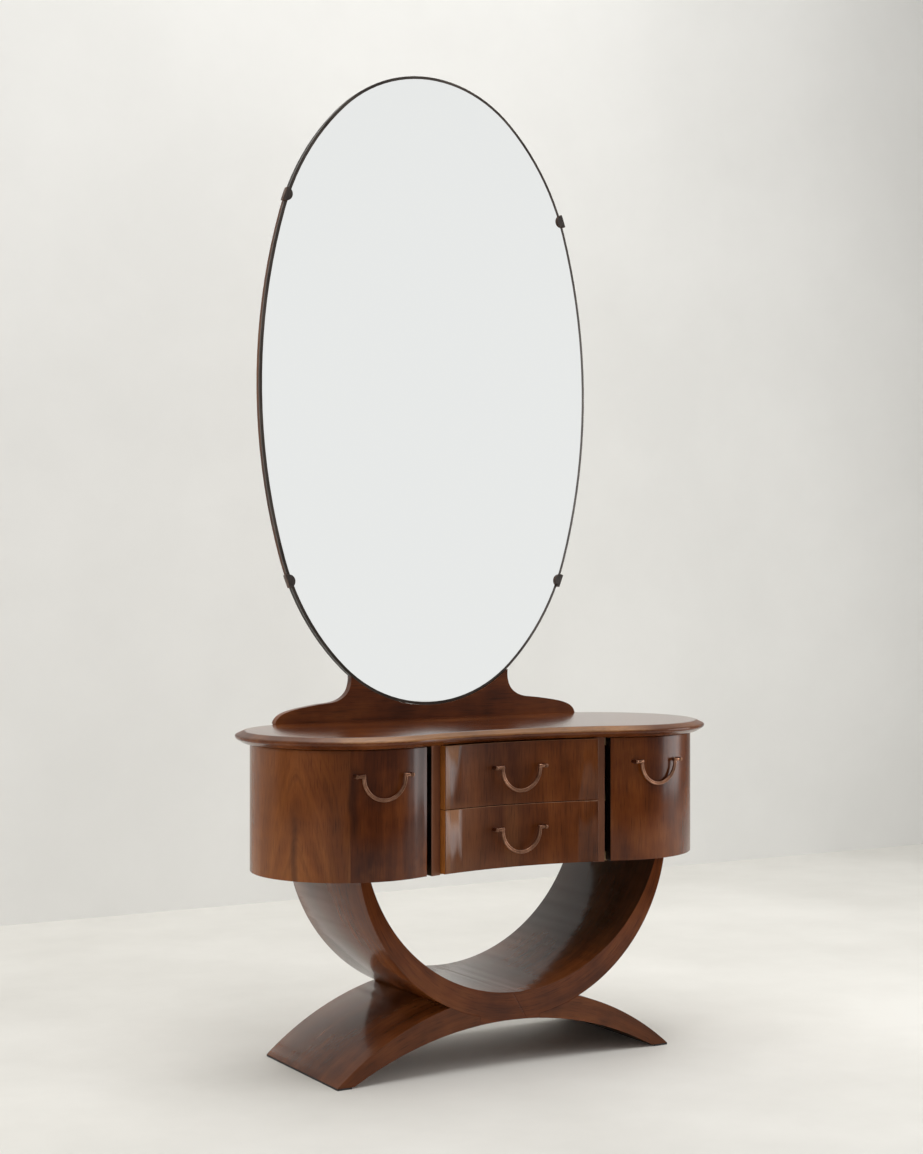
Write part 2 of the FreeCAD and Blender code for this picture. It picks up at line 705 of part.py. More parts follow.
def drawer(name, foot, head, floor, ceiling):
    """A curved front with rounded arrises and a box of four boards behind it."""
    corners = [("-front_half", on_waist(FRONT_OUT, "front_half")),
               ("front_half", on_waist(FRONT_OUT, "front_half")),
               ("front_half", on_waist(FRONT_IN, "front_half")),
               ("-front_half", on_waist(FRONT_IN, "front_half"))]
    bends = {0: "-" + FRONT_OUT, 2: FRONT_IN}
    height = "(%s) - (%s)" % (head, foot)
    front = padded(name + "_front", "XY_Plane", corners, bends, foot, height)
    doc.recompute()
    slack = number("edge_tolerance")
    near = number(on_waist(FRONT_OUT, "front_half")) - slack
    far = number(on_waist(FRONT_OUT, "0")) + slack
    rounded(front, name + "_front_arris", front.Tip, "front_arris",
            lambda edge: near < edge.BoundBox.YMin and edge.BoundBox.YMax < far)
    keep(front, name + "_front")

    low = "(%s + part_gap)" % floor
    tall = "(%s - drawer_head_play - %s)" % (ceiling, low)
    outer = "(%s - drawer_play)" % DIVIDER_IN
    start = on_waist(FRONT_OUT, "front_half")
    length = "(%s - %s)" % (DRAWER_REAR, start)
    groove = "(%s + drawer_bottom_rise)" % low
    for side in (-1, 1):
        label = "%s_%s_side" % (name, sided(side))
        x = "%s - drawer_side" % outer if side > 0 else "-%s" % outer
        blank = box(label + "_blank", x, start, low, "drawer_side", length, tall)
        curve = rod(label + "_curve", 0, WAIST_Y, "%s - overrun" % low, FRONT_IN,
                    "%s + 2 * overrun" % tall)
        groove_x = "%s - drawer_side - overrun" % outer if side > 0 else \
            "-%s + drawer_side - drawer_groove" % outer
        slot = box(label + "_slot", groove_x, "%s - overrun" % start, groove,
                   "drawer_groove + overrun", "%s + 2 * overrun" % length, "drawer_bottom")
        keep(cut(label, cut(label + "_fitted", blank, curve), slot), label)
    half = "(%s - drawer_side + drawer_groove)" % outer
    blank = box(name + "_bottom_blank", "-" + half, start, groove, "2 * " + half,
                length, "drawer_bottom")
    curve = rod(name + "_bottom_curve", 0, WAIST_Y, "%s - overrun" % groove, FRONT_IN,
                "drawer_bottom + 2 * overrun")
    keep(cut(name + "_bottom_cut", blank, curve), name + "_bottom")
    inner = "(%s - drawer_side)" % outer
    back_low = "(%s + drawer_bottom)" % groove
    back = box(name + "_back_board", "-" + inner, "%s - drawer_side" % DRAWER_REAR, back_low,
               "2 * " + inner, "drawer_side", "%s + %s - %s" % (low, tall, back_low))
    keep(back, name + "_back")


def handle(name, x, y, z, turn):
    """Two posts and a bail that swings between them, made at the origin facing -Y."""
    inner = "(bail_half - bail_width)"
    straight = "(-(bail_drop - bail_half))"
    crest = "bail_foot_radius"
    corners = [
        ("-bail_half", crest), ("-bail_half", straight), ("0", "-bail_drop"),
        ("bail_half", straight), ("bail_half", crest), (inner, crest), (inner, straight),
        ("0", "-bail_drop + bail_width"), ("-" + inner, straight), ("-" + inner, crest),
    ]
    bends = {1: "bail_half", 2: "bail_half", 6: "-" + inner, 7: "-" + inner}
    low = "-%s - bail_thick / 2" % BAIL_REACH
    bow = padded(name + "_bow", "XZ_Plane", corners, bends, low, "bail_thick")
    middle = "(bail_half - bail_width / 2)"
    wide = "(%s + bail_groove / 2)" % middle
    slim = "(%s - bail_groove / 2)" % middle
    deep = "(-bail_drop + bail_width / 2 - bail_groove / 2)"
    high = "(-bail_drop + bail_width / 2 + bail_groove / 2)"
    groove = [
        ("-" + wide, "0"), ("-" + wide, straight), ("0", deep), (wide, straight), (wide, "0"),
        (slim, "0"), (slim, straight), ("0", high), ("-" + slim, straight), ("-" + slim, "0"),
    ]
    turns = {1: wide, 2: wide, 6: "-" + slim, 7: "-" + slim}
    pocketed(bow, name + "_groove", "XZ_Plane", groove, turns, low, "bail_groove_depth")
    reach = "post_offset - post_radius - part_gap"
    pieces = [bow]
    for side in (-1, 1):
        foot_start = middle if side > 0 else "-(%s)" % reach
        pieces.append(rod("%s_%s_foot" % (name, sided(side)), foot_start, "-" + BAIL_REACH, 0,
                          "bail_foot_radius", "%s - %s" % (reach, middle), "x"))
        pin_start = middle if side > 0 else "-(%s + bail_pin_length)" % reach
        pieces.append(rod("%s_%s_pin" % (name, sided(side)), pin_start, "-" + BAIL_REACH, 0,
                          "bail_pin_radius", "%s + bail_pin_length - %s" % (reach, middle), "x"))
    bail = joined(name + "_bail_whole", pieces)

    posts = []
    for side in (-1, 1):
        post = "%s_%s_post" % (name, sided(side))
        stem = rod(post + "_stem", "%d * post_offset" % side, "-%s - post_cap" % BAIL_REACH, 0,
                   "post_radius", "%s + post_cap + post_tenon" % BAIL_REACH, "y")
        start = "%s - overrun" % reach if side > 0 else "-(%s + bail_pin_length + part_gap)" % reach
        hole = rod(post + "_hole", start, "-" + BAIL_REACH, 0, "bail_pin_radius + running_fit",
                   "bail_pin_length + part_gap + overrun", "x")
        posts.append(cut(post, stem, hole))
    pair = joined(name + "_post_pair", posts)
    for thing in (bail, pair):
        thing.Placement = Placement(Vector(0, 0, 0), Rotation(Vector(0, 0, 1), turn))
        placed(thing, x, y, z)
    keep(bail, name + "_bail")
    keep(pair, name + "_posts")


def handles():
    front_y = on_waist(FRONT_OUT, "post_offset")
    handle("upper_drawer", "0", front_y, "%s - upper_post_drop" % TOP_UNDER, 0)
    handle("lower_drawer", "0", front_y, "%s - lower_post_drop" % FRONT_SPLIT, 0)
    chord = "(sqrt(%s^2 - post_offset^2))" % CASE_END
    for side in (-1, 1):
        x = "%d * (end_offset + %s * sin(door_handle_turn))" % (side, chord)
        y = "-%s * cos(door_handle_turn)" % chord
        handle(sided(side) + "_door", x, y, "%s - door_post_drop" % TOP_UNDER,
               side * number("door_handle_turn"))


# Pedestal
DEPTH_LOW = "(-%s / 2)" % PEDESTAL_DEPTH
PAST_DEPTH = "%s + 2 * overrun" % PEDESTAL_DEPTH


def arch_blank(name):
    """The whole arch of the foot: between two arcs, from tip to tip, above the pads."""
    upper = rod(name + "_upper", "-foot_shift", DEPTH_LOW, "foot_upper_apex - foot_upper_radius",
                "foot_upper_radius", PEDESTAL_DEPTH, "y")
    lower = rod(name + "_lower", "-foot_shift", "%s - overrun" % DEPTH_LOW,
                "foot_lower_apex - foot_lower_radius", "foot_lower_radius",
                PAST_DEPTH, "y")
    reach = box(name + "_reach", "-foot_shift - foot_half", DEPTH_LOW, "pad_thick",
                "2 * foot_half", PEDESTAL_DEPTH, "foot_upper_apex")
    return common(name, cut(name + "_crescent", upper, lower), reach)


def ring_disc(name):
    return rod(name, 0, "%s - overrun" % DEPTH_LOW, "ring_outer_rise", RING_OUTER,
               PAST_DEPTH, "y")


def ring_half(side):
    """Half of the ring with its part of the middle block, cut off by the slanting scarf."""
    label = "ring_%s_half" % sided(side)
    outer = rod(label + "_outer", 0, DEPTH_LOW, "ring_outer_rise", RING_OUTER,
                PEDESTAL_DEPTH, "y")
    hollow = rod(label + "_hollow", 0, "%s - overrun" % DEPTH_LOW, RING_INNER_Z, RING_INNER,
                 PAST_DEPTH, "y")
    crescent = cut(label + "_crescent", outer, hollow)
    block_reach = box(label + "_block_reach", "-foot_shift - foot_block_half", DEPTH_LOW, 0,
                      "2 * foot_block_half", PEDESTAL_DEPTH, "foot_upper_apex")
    block = common(label + "_block", arch_blank(label + "_arch"), block_reach)
    whole = cut(label + "_whole", joined(label + "_joined", [crescent, block]),
                rod(label + "_clear", 0, "%s - overrun" % DEPTH_LOW, RING_INNER_Z, RING_INNER,
                    PAST_DEPTH, "y"))
    far = "%s + overrun" % RING_OUTER
    top = "(ring_bottom + ring_depth + overrun)"
    foot = "(ring_bottom - overrun)"
    scarf = [("%d * (%s)" % (side, far), foot), ("scarf_foot", foot), ("-scarf_top", top),
             ("-scarf_top", "case_low"), ("%d * (%s)" % (side, far), "case_low")]
    template = padded(label + "_template", "XZ_Plane", scarf, {},
                      "%s - overrun" % DEPTH_LOW, PAST_DEPTH)
    keep(common(label + "_kept", whole, template), label)


def foot(side):
    """One side of the arch, from the ring to its tip, and the pad under the tip."""
    label = sided(side) + "_foot"
    arch = arch_blank(label + "_arch")
    clear = cut(label + "_clear", arch, ring_disc(label + "_disc"))
    start = "foot_block_half - foot_shift" if side > 0 else "-foot_shift - foot_half - overrun"
    reach = box(label + "_side", start, "%s - overrun" % DEPTH_LOW, 0,
                "foot_half - foot_block_half + overrun", PAST_DEPTH,
                "foot_upper_apex")
    keep(common(label + "_kept", clear, reach), label)
    pad_x = "foot_half - foot_shift - pad_length" if side > 0 else "-foot_half - foot_shift"
    keep(box(label + "_rest", pad_x, DEPTH_LOW, 0, "pad_length", PEDESTAL_DEPTH, "pad_thick"),
         label + "_pad")


# Mirror
def oval(growth):
    """Eight arcs that meet smoothly: round ends, long sides and shoulders between them."""
    end = "(mirror_end_radius + (%s))" % growth
    shoulder = "(mirror_shoulder_radius + (%s))" % growth
    side = "(%s + (%s))" % (SIDE_RADIUS, growth)
    end_x = "(mirror_end_half / mirror_end_radius * %s)" % end
    end_z = "(mirror_half_height - mirror_end_radius + %s / mirror_end_radius * %s)" % (
        OVAL_END_DROP, end)
    ratio = "(%s / (%s - mirror_shoulder_radius))" % (side, SIDE_RADIUS)
    side_x = "(mirror_half_width - %s + %s * (%s - %s))" % (
        SIDE_RADIUS, ratio, SIDE_RADIUS, SHOULDER_SHORT)
    side_z = "(%s * %s)" % (ratio, SHOULDER_Z)
    quarter = [(end_x, end_z), (side_x, side_z)]
    corners = []
    for right, up in ((1, -1), (1, 1), (-1, 1), (-1, -1)):
        for x, z in (quarter if right * up < 0 else reversed(quarter)):
            corners.append(("%d * %s - mirror_shift" % (right, x),
                            "%s + %d * %s" % (MIRROR_Z, up, z)))
    bends = {}
    for index, radius in enumerate([shoulder, side, shoulder, end] * 2):
        bends[index] = radius
    return corners, bends


def mirror():
    """A glass with a narrow bevel, on a wooden board of nearly its outline."""
    corners, bends = oval("0")
    glass = padded("mirror_glass", "XZ_Plane", corners, bends, GLASS_FRONT, "glass_thick")
    front = number("%s + edge_tolerance" % GLASS_FRONT)
    sloped(glass, "glass_bevel", glass.Tip, "glass_bevel_depth", "glass_bevel_width",
           lambda edge: edge.BoundBox.YMax < front)
    keep(glass, "mirror_glass")
    corners, bends = oval("-backing_inset")
    keep(padded("mirror_board", "XZ_Plane", corners, bends, GLASS_BACK, "backing_thick"),
         "mirror_board")


# Half of the rail's upper outline, from its end to the tip of its horn,
# as shares of its half length and of its rise
RAIL_OUTLINE_SHARES = [
    (1, 0), (0.985, 0.108), (0.913, 0.25), (0.817, 0.322), (0.70, 0.381), (0.619, 0.424),
    (0.544, 0.608), (0.524, 0.80), (0.5235, 1),
]


def mirror_rail():
    """The rail's swept outline is a spline; the mirror's oval is cut from its middle."""
    base = number("top_height")
    half = number("rail_half")
    rise = number("rail_rise")
    front = number(RAIL_FRONT)
    right = [Vector(x * half, front, base + z * rise) for x, z in RAIL_OUTLINE_SHARES]
    left = [Vector(-point.x, point.y, point.z) for point in reversed(right)]
    edges = []
    for points in (right, left):
        curve = Part.BSplineCurve()
        curve.interpolate(points)
        edges.append(curve.toShape())
    edges.insert(1, Part.LineSegment(right[-1], left[0]).toShape())
    edges.append(Part.LineSegment(left[-1], right[0]).toShape())
    face = Part.Face(Part.Wire(edges))
    blank = face.extrude(Vector(0, number(RAIL_BACK) - front, 0))
    corners, bends = oval("mirror_seat")
    seat = padded("rail_seat", "XZ_Plane", corners, bends, "%s - overrun" % RAIL_FRONT,
                  "rail_thick + 2 * overrun")
    doc.recompute()
    rail = doc.addObject("Part::Feature", "mirror_rail")
    rail.Shape = blank.cut(seat.Shape)
    keep(rail, "mirror_rail")


def clip_place(sign):
    """Height of a clip on a shoulder, and how far out the mirror's edge is there."""
    rise = "(clip_rise - %d * clip_shift)" % sign
    edge = "(%s + sqrt(mirror_shoulder_radius^2 - (%s - %s)^2))" % (SHOULDER_X, rise, SHOULDER_Z)
    return "(%s + %d * %s)" % (MIRROR_Z, sign, rise), edge


def clips():
    """Wooden clips with a round lobe over the glass, and a grip on the board's edge."""
    inner, inner_bends = oval("mirror_seat")
    outer, outer_bends = oval("clip_out")
    front = "(%s - clip_thick)" % GLASS_FRONT
    depth = "(clip_thick + glass_thick + clip_grip)"
    for level, sign in (("upper", 1), ("lower", -1)):
        middle, edge = clip_place(sign)
        for side in (-1, 1):
            label = "%s_%s_clip" % (level, sided(side))
            centre = "%d * (%s - clip_lap + clip_radius) - mirror_shift" % (side, edge)
            lobe = rod(label + "_lobe", centre, front, middle, "clip_radius", depth, "y")
            limit = padded(label + "_limit", "XZ_Plane", outer, outer_bends, front, depth)
            seat = padded(label + "_seat", "XZ_Plane", inner, inner_bends, GLASS_FRONT,
                          "glass_thick + clip_grip + overrun")
            keep(cut(label + "_cut", common(label + "_blank", lobe, limit), seat), label)


STRAP_SCREW_SHARES = [0.06, 0.55, 0.93]


def straps():
    """Two flat steel straps on the back, across the joint of mirror and rail."""
    bars = []
    screws = []
    low = "top_height + strap_low"
    for side in (-1, 1):
        x = "%d * strap_offset - strap_width / 2" % side
        bars.append(box(sided(side) + "_strap", x, RAIL_BACK, low, "strap_width", "strap_thick",
                        "strap_length"))
        for index, share in enumerate(STRAP_SCREW_SHARES):
            screws.append(rod("%s_strap_screw_%d" % (sided(side), index + 1),
                              "%d * strap_offset" % side, "%s - backing_thick / 2" % RAIL_BACK,
                              "%s + strap_length * %s" % (low, share), "screw_radius",
                              "backing_thick / 2 + strap_thick", "y"))
    keep(joined("straps", bars), "mirror_straps")
    keep(joined("screws_of_straps", screws), "strap_screws")


def clip_screws():
    """A screw through each clip into the edge of the backing board."""
    screws = []
    for sign in (-1, 1):
        middle, edge = clip_place(sign)
        for side in (-1, 1):
            start = "%s - clip_lap" % edge if side > 0 else "-(%s + clip_out / 2)" % edge
            start = "%s - mirror_shift" % start
            screws.append(rod("clip_screw_%d_%d" % (sign + 2, side + 2), start,
                              "%s + clip_grip / 2" % GLASS_BACK, middle, "clip_screw_radius",
                              "clip_lap + clip_out / 2", "x"))
    keep(joined("screws_of_clips", screws), "clip_screws")


def screw(name, x, y, head_z, length, up):
    """A screw with a sunk head; up is +1 where its point is above its head."""
    low = head_z if up > 0 else "%s - (%s)" % (head_z, length)
    shank = rod(name + "_shank", x, y, low, "screw_radius", length)
    head_low = head_z if up > 0 else "%s - screw_head_thick" % head_z
    head = rod(name + "_head", x, y, head_low, "screw_head", "screw_head_thick")
    return joined(name, [shank, head])


# Places of the fasteners, as shares of the end offset and of the case's end radius
TOP_SCREW_SHARES = [(0.3, 0.6), (0.3, -0.6), (1.2, 0.5), (1.2, -0.5)]
RING_SCREW_SHARES = [-0.6, 0, 0.6]
DOWEL_SHARES = [0.3, 0.75]


def fasteners():
    tops = []
    rings = []
    dowels = []
    ring_x = "((sqrt(%s^2 - (ring_outer_rise - case_low)^2)" \
        " + sqrt(%s^2 - (%s - case_low)^2)) / 2)" % (RING_OUTER, RING_INNER, RING_INNER_Z)
    for side in (-1, 1):
        for index, (along, deep) in enumerate(TOP_SCREW_SHARES):
            tops.append(screw("top_screw_%s_%d" % (sided(side), index + 1),
                              "%d * end_offset * %s" % (side, along), "%s * %s" % (CASE_END, deep),
                              CEILING_IN, "screw_length", 1))
        for index, deep in enumerate(RING_SCREW_SHARES):
            rings.append(screw("ring_screw_%s_%d" % (sided(side), index + 1),
                               "%d * %s" % (side, ring_x), "%s * %s" % (CASE_END, deep),
                               FLOOR_IN, "ring_screw_length", -1))
        for index, along in enumerate(DOWEL_SHARES):
            dowels.append(rod("rail_dowel_%s_%d" % (sided(side), index + 1),
                              "%d * rail_half * %s" % (side, along),
                              "%s - rail_thick / 2" % RAIL_BACK, "top_height - dowel_half",
                              "dowel_radius", "2 * dowel_half"))
    keep(joined("screws_of_top", tops), "top_screws")
    keep(joined("screws_of_ring", rings), "ring_screws")
    keep(joined("dowels_of_rail", dowels), "rail_dowels")


table_top()
case_board("sub_top", CEILING_IN)
case_board("case_bottom", "case_low")
back_panel()
dust_board()
drawer_stops()
for hand in (-1, 1):
    divider(hand)
    rear_corner(hand)
    door(hand)
    shelf(hand)
    ring_half(hand)
    foot(hand)
shelf_pins()
hinges()
catches()
drawer("lower_drawer", FRONT_FOOT, "%s - front_seam / 2" % FRONT_SPLIT, LOWER_FLOOR, LOWER_CEILING)
drawer("upper_drawer", "%s + front_seam / 2" % FRONT_SPLIT, FRONT_HEAD, UPPER_FLOOR, UPPER_CEILING)
handles()
mirror()
mirror_rail()
clips()
straps()
clip_screws()
fasteners()

doc.recompute()
for thing in doc.Objects:
    if "Invalid" in thing.State or "Error" in thing.State:
        raise RuntimeError("failed: %s %s" % (thing.Label, thing.State))
for label, thing in parts:
    if thing.Shape.isNull() or not thing.Shape.isValid() or not thing.Shape.Solids:
        raise RuntimeError("bad shape: " + label)

os.makedirs("parts", exist_ok=True)
for label, thing in parts:
    thing.Shape.exportStep("parts/%s.step" % label)
    box_now = thing.Shape.BoundBox
    print("%-26s %d solids  %9.1f cm3  x %.1f %.1f  y %.1f %.1f  z %.1f %.1f" % (
        label, len(thing.Shape.Solids), thing.Shape.Volume / 1000, box_now.XMin, box_now.XMax,
        box_now.YMin, box_now.YMax, box_now.ZMin, box_now.ZMax))
print(len(parts), "sub-parts")
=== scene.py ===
import json
import math

import bmesh
import bpy
from mathutils import Matrix, Vector


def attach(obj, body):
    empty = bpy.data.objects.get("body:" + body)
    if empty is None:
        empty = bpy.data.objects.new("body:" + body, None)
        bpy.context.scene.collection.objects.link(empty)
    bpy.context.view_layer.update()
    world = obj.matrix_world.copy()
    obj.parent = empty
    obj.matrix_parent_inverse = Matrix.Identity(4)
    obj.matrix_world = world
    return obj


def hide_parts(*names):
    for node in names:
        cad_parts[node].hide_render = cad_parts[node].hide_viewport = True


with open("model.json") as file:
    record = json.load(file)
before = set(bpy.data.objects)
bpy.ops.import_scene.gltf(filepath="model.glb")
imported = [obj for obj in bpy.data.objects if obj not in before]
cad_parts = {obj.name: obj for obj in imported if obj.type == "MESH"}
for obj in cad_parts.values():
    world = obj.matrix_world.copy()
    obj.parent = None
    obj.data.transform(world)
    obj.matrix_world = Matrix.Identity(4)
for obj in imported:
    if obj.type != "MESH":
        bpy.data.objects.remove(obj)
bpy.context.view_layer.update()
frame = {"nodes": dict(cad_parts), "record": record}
NODES = frame["nodes"]


# Camera, at the photograph's place. Metres and degrees.

CAMERA_PLACE = (-1.870, -3.182, 0.866)
CAMERA_TURN = -29.98
CAMERA_LENS = 63.46
CAMERA_SHIFT = -0.0046


def make_camera():
    """A level camera that looks at the front left corner of the table."""
    data = bpy.data.cameras.new("camera")
    data.lens = CAMERA_LENS
    data.sensor_width = 36
    data.shift_y = CAMERA_SHIFT
    camera = bpy.data.objects.new("camera", data)
    camera.location = CAMERA_PLACE
    camera.rotation_euler = (math.radians(90), 0, math.radians(CAMERA_TURN))
    bpy.context.scene.collection.objects.link(camera)
    bpy.context.scene.camera = camera


# Helpers for materials.

class Finish:
    """One material and short ways to add and join its shader nodes."""

    def __init__(self, name):
        self.material = bpy.data.materials.new(name)
        self.material.use_nodes = True
        self.tree = self.material.node_tree
        self.shader = self.tree.nodes["Principled BSDF"]

    def node(self, kind, **settings):
        made = self.tree.nodes.new("ShaderNode" + kind)
        for key, value in settings.items():
            setattr(made, key, value)
        return made

    def link(self, start, end):
        self.tree.links.new(start, end)

    def put(self, socket, value):
        """Links an output to the socket, or sets a plain number or colour on it."""
        if isinstance(value, bpy.types.NodeSocket):
            self.link(value, socket)
        else:
            socket.default_value = value

    def place(self, scale):
        """Scaled object coordinates."""
        coordinates = self.node("TexCoord")
        mapping = self.node("Mapping")
        self.link(coordinates.outputs["Object"], mapping.inputs["Vector"])
        mapping.inputs["Scale"].default_value = scale
        return mapping.outputs["Vector"]

    def split(self):
        """The three object coordinates."""
        coordinates = self.node("TexCoord")
        parts = self.node("SeparateXYZ")
        self.link(coordinates.outputs["Object"], parts.inputs[0])
        return parts.outputs["X"], parts.outputs["Y"], parts.outputs["Z"]

    def facing(self):
        """The three parts of the surface's direction, which turn with the piece."""
        coordinates = self.node("TexCoord")
        parts = self.node("SeparateXYZ")
        self.link(coordinates.outputs["Normal"], parts.inputs[0])
        return parts.outputs["X"], parts.outputs["Y"], parts.outputs["Z"]

    def stretched(self, across, along, depth, fine, slow, seed):
        """A texture vector with so many features a metre across and along the grain."""
        made = self.node("CombineXYZ")
        self.put(made.inputs["X"], self.math("MULTIPLY_ADD", across, fine, seed * 3.1))
        self.put(made.inputs["Y"], self.math("MULTIPLY_ADD", along, slow, seed * 1.7))
        if isinstance(depth, bpy.types.NodeSocket):
            depth = self.math("MULTIPLY_ADD", depth, fine, seed)
        self.put(made.inputs["Z"], depth)
        return made.outputs[0]

    def flame(self, across, along, place, slope, blunt, reach, middle):
        """Bends straight grain into a pointed flame about one place."""
        offset = self.math("SUBTRACT", across, place)
        fold = self.math("SQRT", self.math("MULTIPLY_ADD", offset, offset, blunt * blunt))
        near = self.node("MapRange", interpolation_type="SMOOTHSTEP")
        self.put(near.inputs["Value"], fold)
        near.inputs["From Min"].default_value = reach * 0.35
        near.inputs["From Max"].default_value = reach
        near.inputs["To Min"].default_value = slope
        near.inputs["To Max"].default_value = 0
        lean = self.math("MULTIPLY", self.math("SUBTRACT", along, middle), near.outputs[0])
        return self.math("ADD", fold, lean)

    def noise(self, vector, scale=1.0, detail=3.0, rough=0.5, distortion=0.0):
        made = self.node("TexNoise")
        self.link(vector, made.inputs["Vector"])
        made.inputs["Scale"].default_value = scale
        made.inputs["Detail"].default_value = detail
        made.inputs["Roughness"].default_value = rough
        made.inputs["Distortion"].default_value = distortion
        return made.outputs["Fac"]

    def ramp(self, value, *stops):
        """Stops are (place, colour) pairs. A plain number stands for a grey."""
        made = self.node("ValToRGB")
        self.link(value, made.inputs["Fac"])
        elements = made.color_ramp.elements
        while len(elements) < len(stops):
            elements.new(0.5)
        for element, (place, colour) in zip(elements, stops):
            element.position = place
            if not hasattr(colour, "__len__"):
                colour = (colour, colour, colour)
            element.color = (*colour, 1)
        return made.outputs["Color"]

    def slope(self, value, low, high, start=0.0, end=1.0):
        """Runs smoothly from start to end while the value runs from low to high."""
        made = self.node("MapRange", interpolation_type="SMOOTHSTEP")
        self.put(made.inputs["Value"], value)
        made.inputs["From Min"].default_value = low
        made.inputs["From Max"].default_value = high
        made.inputs["To Min"].default_value = start
        made.inputs["To Max"].default_value = end
        return made.outputs[0]

    def band(self, value, place, half, soft):
        """1 within half of a place, falling to 0 over soft."""
        away = self.math("ABSOLUTE", self.math("SUBTRACT", value, place))
        return self.slope(away, half, half + soft, 1.0, 0.0)

    def mix(self, share, first, second, blend="MIX"):
        made = self.node("Mix", data_type="RGBA", blend_type=blend)
        self.put(made.inputs["Factor"], share)
        self.put(made.inputs[6], first if not isinstance(first, tuple) else (*first, 1))
        self.put(made.inputs[7], second if not isinstance(second, tuple) else (*second, 1))
        return made.outputs[2]

    def math(self, operation, first, second=0.0, third=0.0):
        made = self.node("Math", operation=operation)
        self.put(made.inputs[0], first)
        self.put(made.inputs[1], second)
        self.put(made.inputs[2], third)
        return made.outputs[0]

    def bump(self, height, depth, strength=1.0):
        made = self.node("Bump")
        self.link(height, made.inputs["Height"])
        made.inputs["Distance"].default_value = depth
        made.inputs["Strength"].default_value = strength
        self.link(made.outputs["Normal"], self.shader.inputs["Normal"])

    def set(self, **values):
        for key, value in values.items():
            socket = self.shader.inputs[key.replace("_", " ")]
            if isinstance(value, tuple) and len(value) == 3:
                value = (*value, 1)
            self.put(socket, value)


# Walnut. Each flow gives how far a point lies across, along and into the grain.

DEEP = (0.048, 0.0100, 0.0024)
MIDDLE = (0.110, 0.0275, 0.0064)
WARM = (0.195, 0.0590, 0.0155)
# Near black, for painted shade in the gaps and under the case.
PAINTED_SHADE = (0.010, 0.0050, 0.0035)
# Pale wood for the painted highlight on arrises.
ARRIS_HIGHLIGHT = (0.30, 0.125, 0.055)
GLOSS = 0.24
SHINE = 0.27


def wood_colour(finish, flow, dark, middle, light, seed, streaks):
    """Broad bands and finer lines along the grain; pored adds the pores."""
    across, along, depth = flow
    broad = finish.noise(finish.stretched(across, along, depth, 20, 3.0, seed), 1, 3, 0.55)
    cloud = finish.noise(finish.stretched(across, along, depth, 9, 10, seed + 5), 1, 3, 0.55)
    streak = finish.noise(finish.stretched(across, along, depth, 150, 9, seed), 1, 4, 0.65)
    tone = finish.math("ADD", finish.math("MULTIPLY", broad, 0.55),
                       finish.math("MULTIPLY", cloud, 0.45))
    base = finish.ramp(tone, (0.36, dark), (0.5, middle), (0.64, light))
    lines = finish.ramp(streak, (0.32, 0.72), (0.5, 1.0), (0.68, 1.16))
    return finish.mix(streaks, base, finish.mix(1.0, base, lines, "MULTIPLY"))


def pored(finish, flow, colour, seed):
    """Adds the pores, which also dent the surface a little."""
    across, along, depth = flow
    pores = finish.noise(finish.stretched(across, along, depth, 900, 28, seed), 1, 2, 0.5)
    specks = finish.ramp(pores, (0.30, 0.40), (0.44, 1.0), (0.60, 1.08))
    finish.bump(pores, 0.00006, 0.25)
    return finish.mix(0.75, colour, finish.mix(1.0, colour, specks, "MULTIPLY"))


def arris(finish, colour, strength):
    """Paler wood on the rounded arrises of a flat or upright face: a painted highlight."""
    side_x, front, up = finish.facing()
    turned = finish.band(finish.math("ABSOLUTE", up), 0.68, 0.22, 0.06)
    forward = finish.slope(front, -0.25, -0.45)
    return finish.mix(finish.math("MULTIPLY", finish.math("MULTIPLY", turned, forward), strength),
                      colour, ARRIS_HIGHLIGHT)


def walnut(name, flow, dark=DEEP, middle=MIDDLE, light=WARM, gloss=GLOSS, seed=0.0, streaks=0.6,
           shine=SHINE, worn=0.0):
    """Walnut veneer with one run of grain; worn is how strong the painted highlight on its
    arrises is.
    """
    finish = Finish(name)
    made = flow(finish)
    colour = pored(finish, made, wood_colour(finish, made, dark, middle, light, seed, streaks),
                   seed)
    # Painted highlight on the arrises.
    if worn:
        colour = arris(finish, colour, worn)
    finish.set(Base_Color=colour, Roughness=gloss, Specular_IOR_Level=shine)
    return finish.material


# Shapes that the grain follows: the case's round ends, the ring and the foot's arch.
END_CENTRE = 0.268
END_RADIUS = 0.167
RING_CENTRE = 0.401
RING_RADIUS = 0.300
ARCH_CENTRE = (-0.018, -0.45)
ARCH_RADIUS = 0.56


def end_arc(finish, side):
    """The way round a round end, from its foremost line, and the height."""
    x, y, z = finish.split()
    turn = finish.math("ARCTAN2", finish.math("SUBTRACT", x, side * END_CENTRE),
                       finish.math("MULTIPLY", y, -1))
    return finish.math("MULTIPLY", turn, END_RADIUS), z


def upright(finish):
    """Grain that stands upright on a front."""
    x, y, z = finish.split()
    return x, z, y


def lengthways(finish):
    """Grain that runs from left to right."""
    x, y, z = finish.split()
    return y, x, z


def curved(centre_x, centre_z, radius):
    """Grain that follows a bent board about a level axis from front to back."""
    def flow(finish):
        x, y, z = finish.split()
        out_x = finish.math("SUBTRACT", x, centre_x)
        out_z = finish.math("SUBTRACT", z, centre_z)
        turn = finish.math("ARCTAN2", out_x, out_z) if centre_z < 0 else \
            finish.math("ARCTAN2", out_x, finish.math("MULTIPLY", out_z, -1))
        squares = finish.math("MULTIPLY_ADD", out_x, out_x,
                              finish.math("MULTIPLY", out_z, out_z))
        return y, finish.math("MULTIPLY", turn, radius), finish.math("SQRT", squares)
    return flow


# The left door's veneer has a pointed flame, then a straight-grained leaf beside a joint.
FLAME_PLACE = -0.165
JOINT_PLACE = -0.070


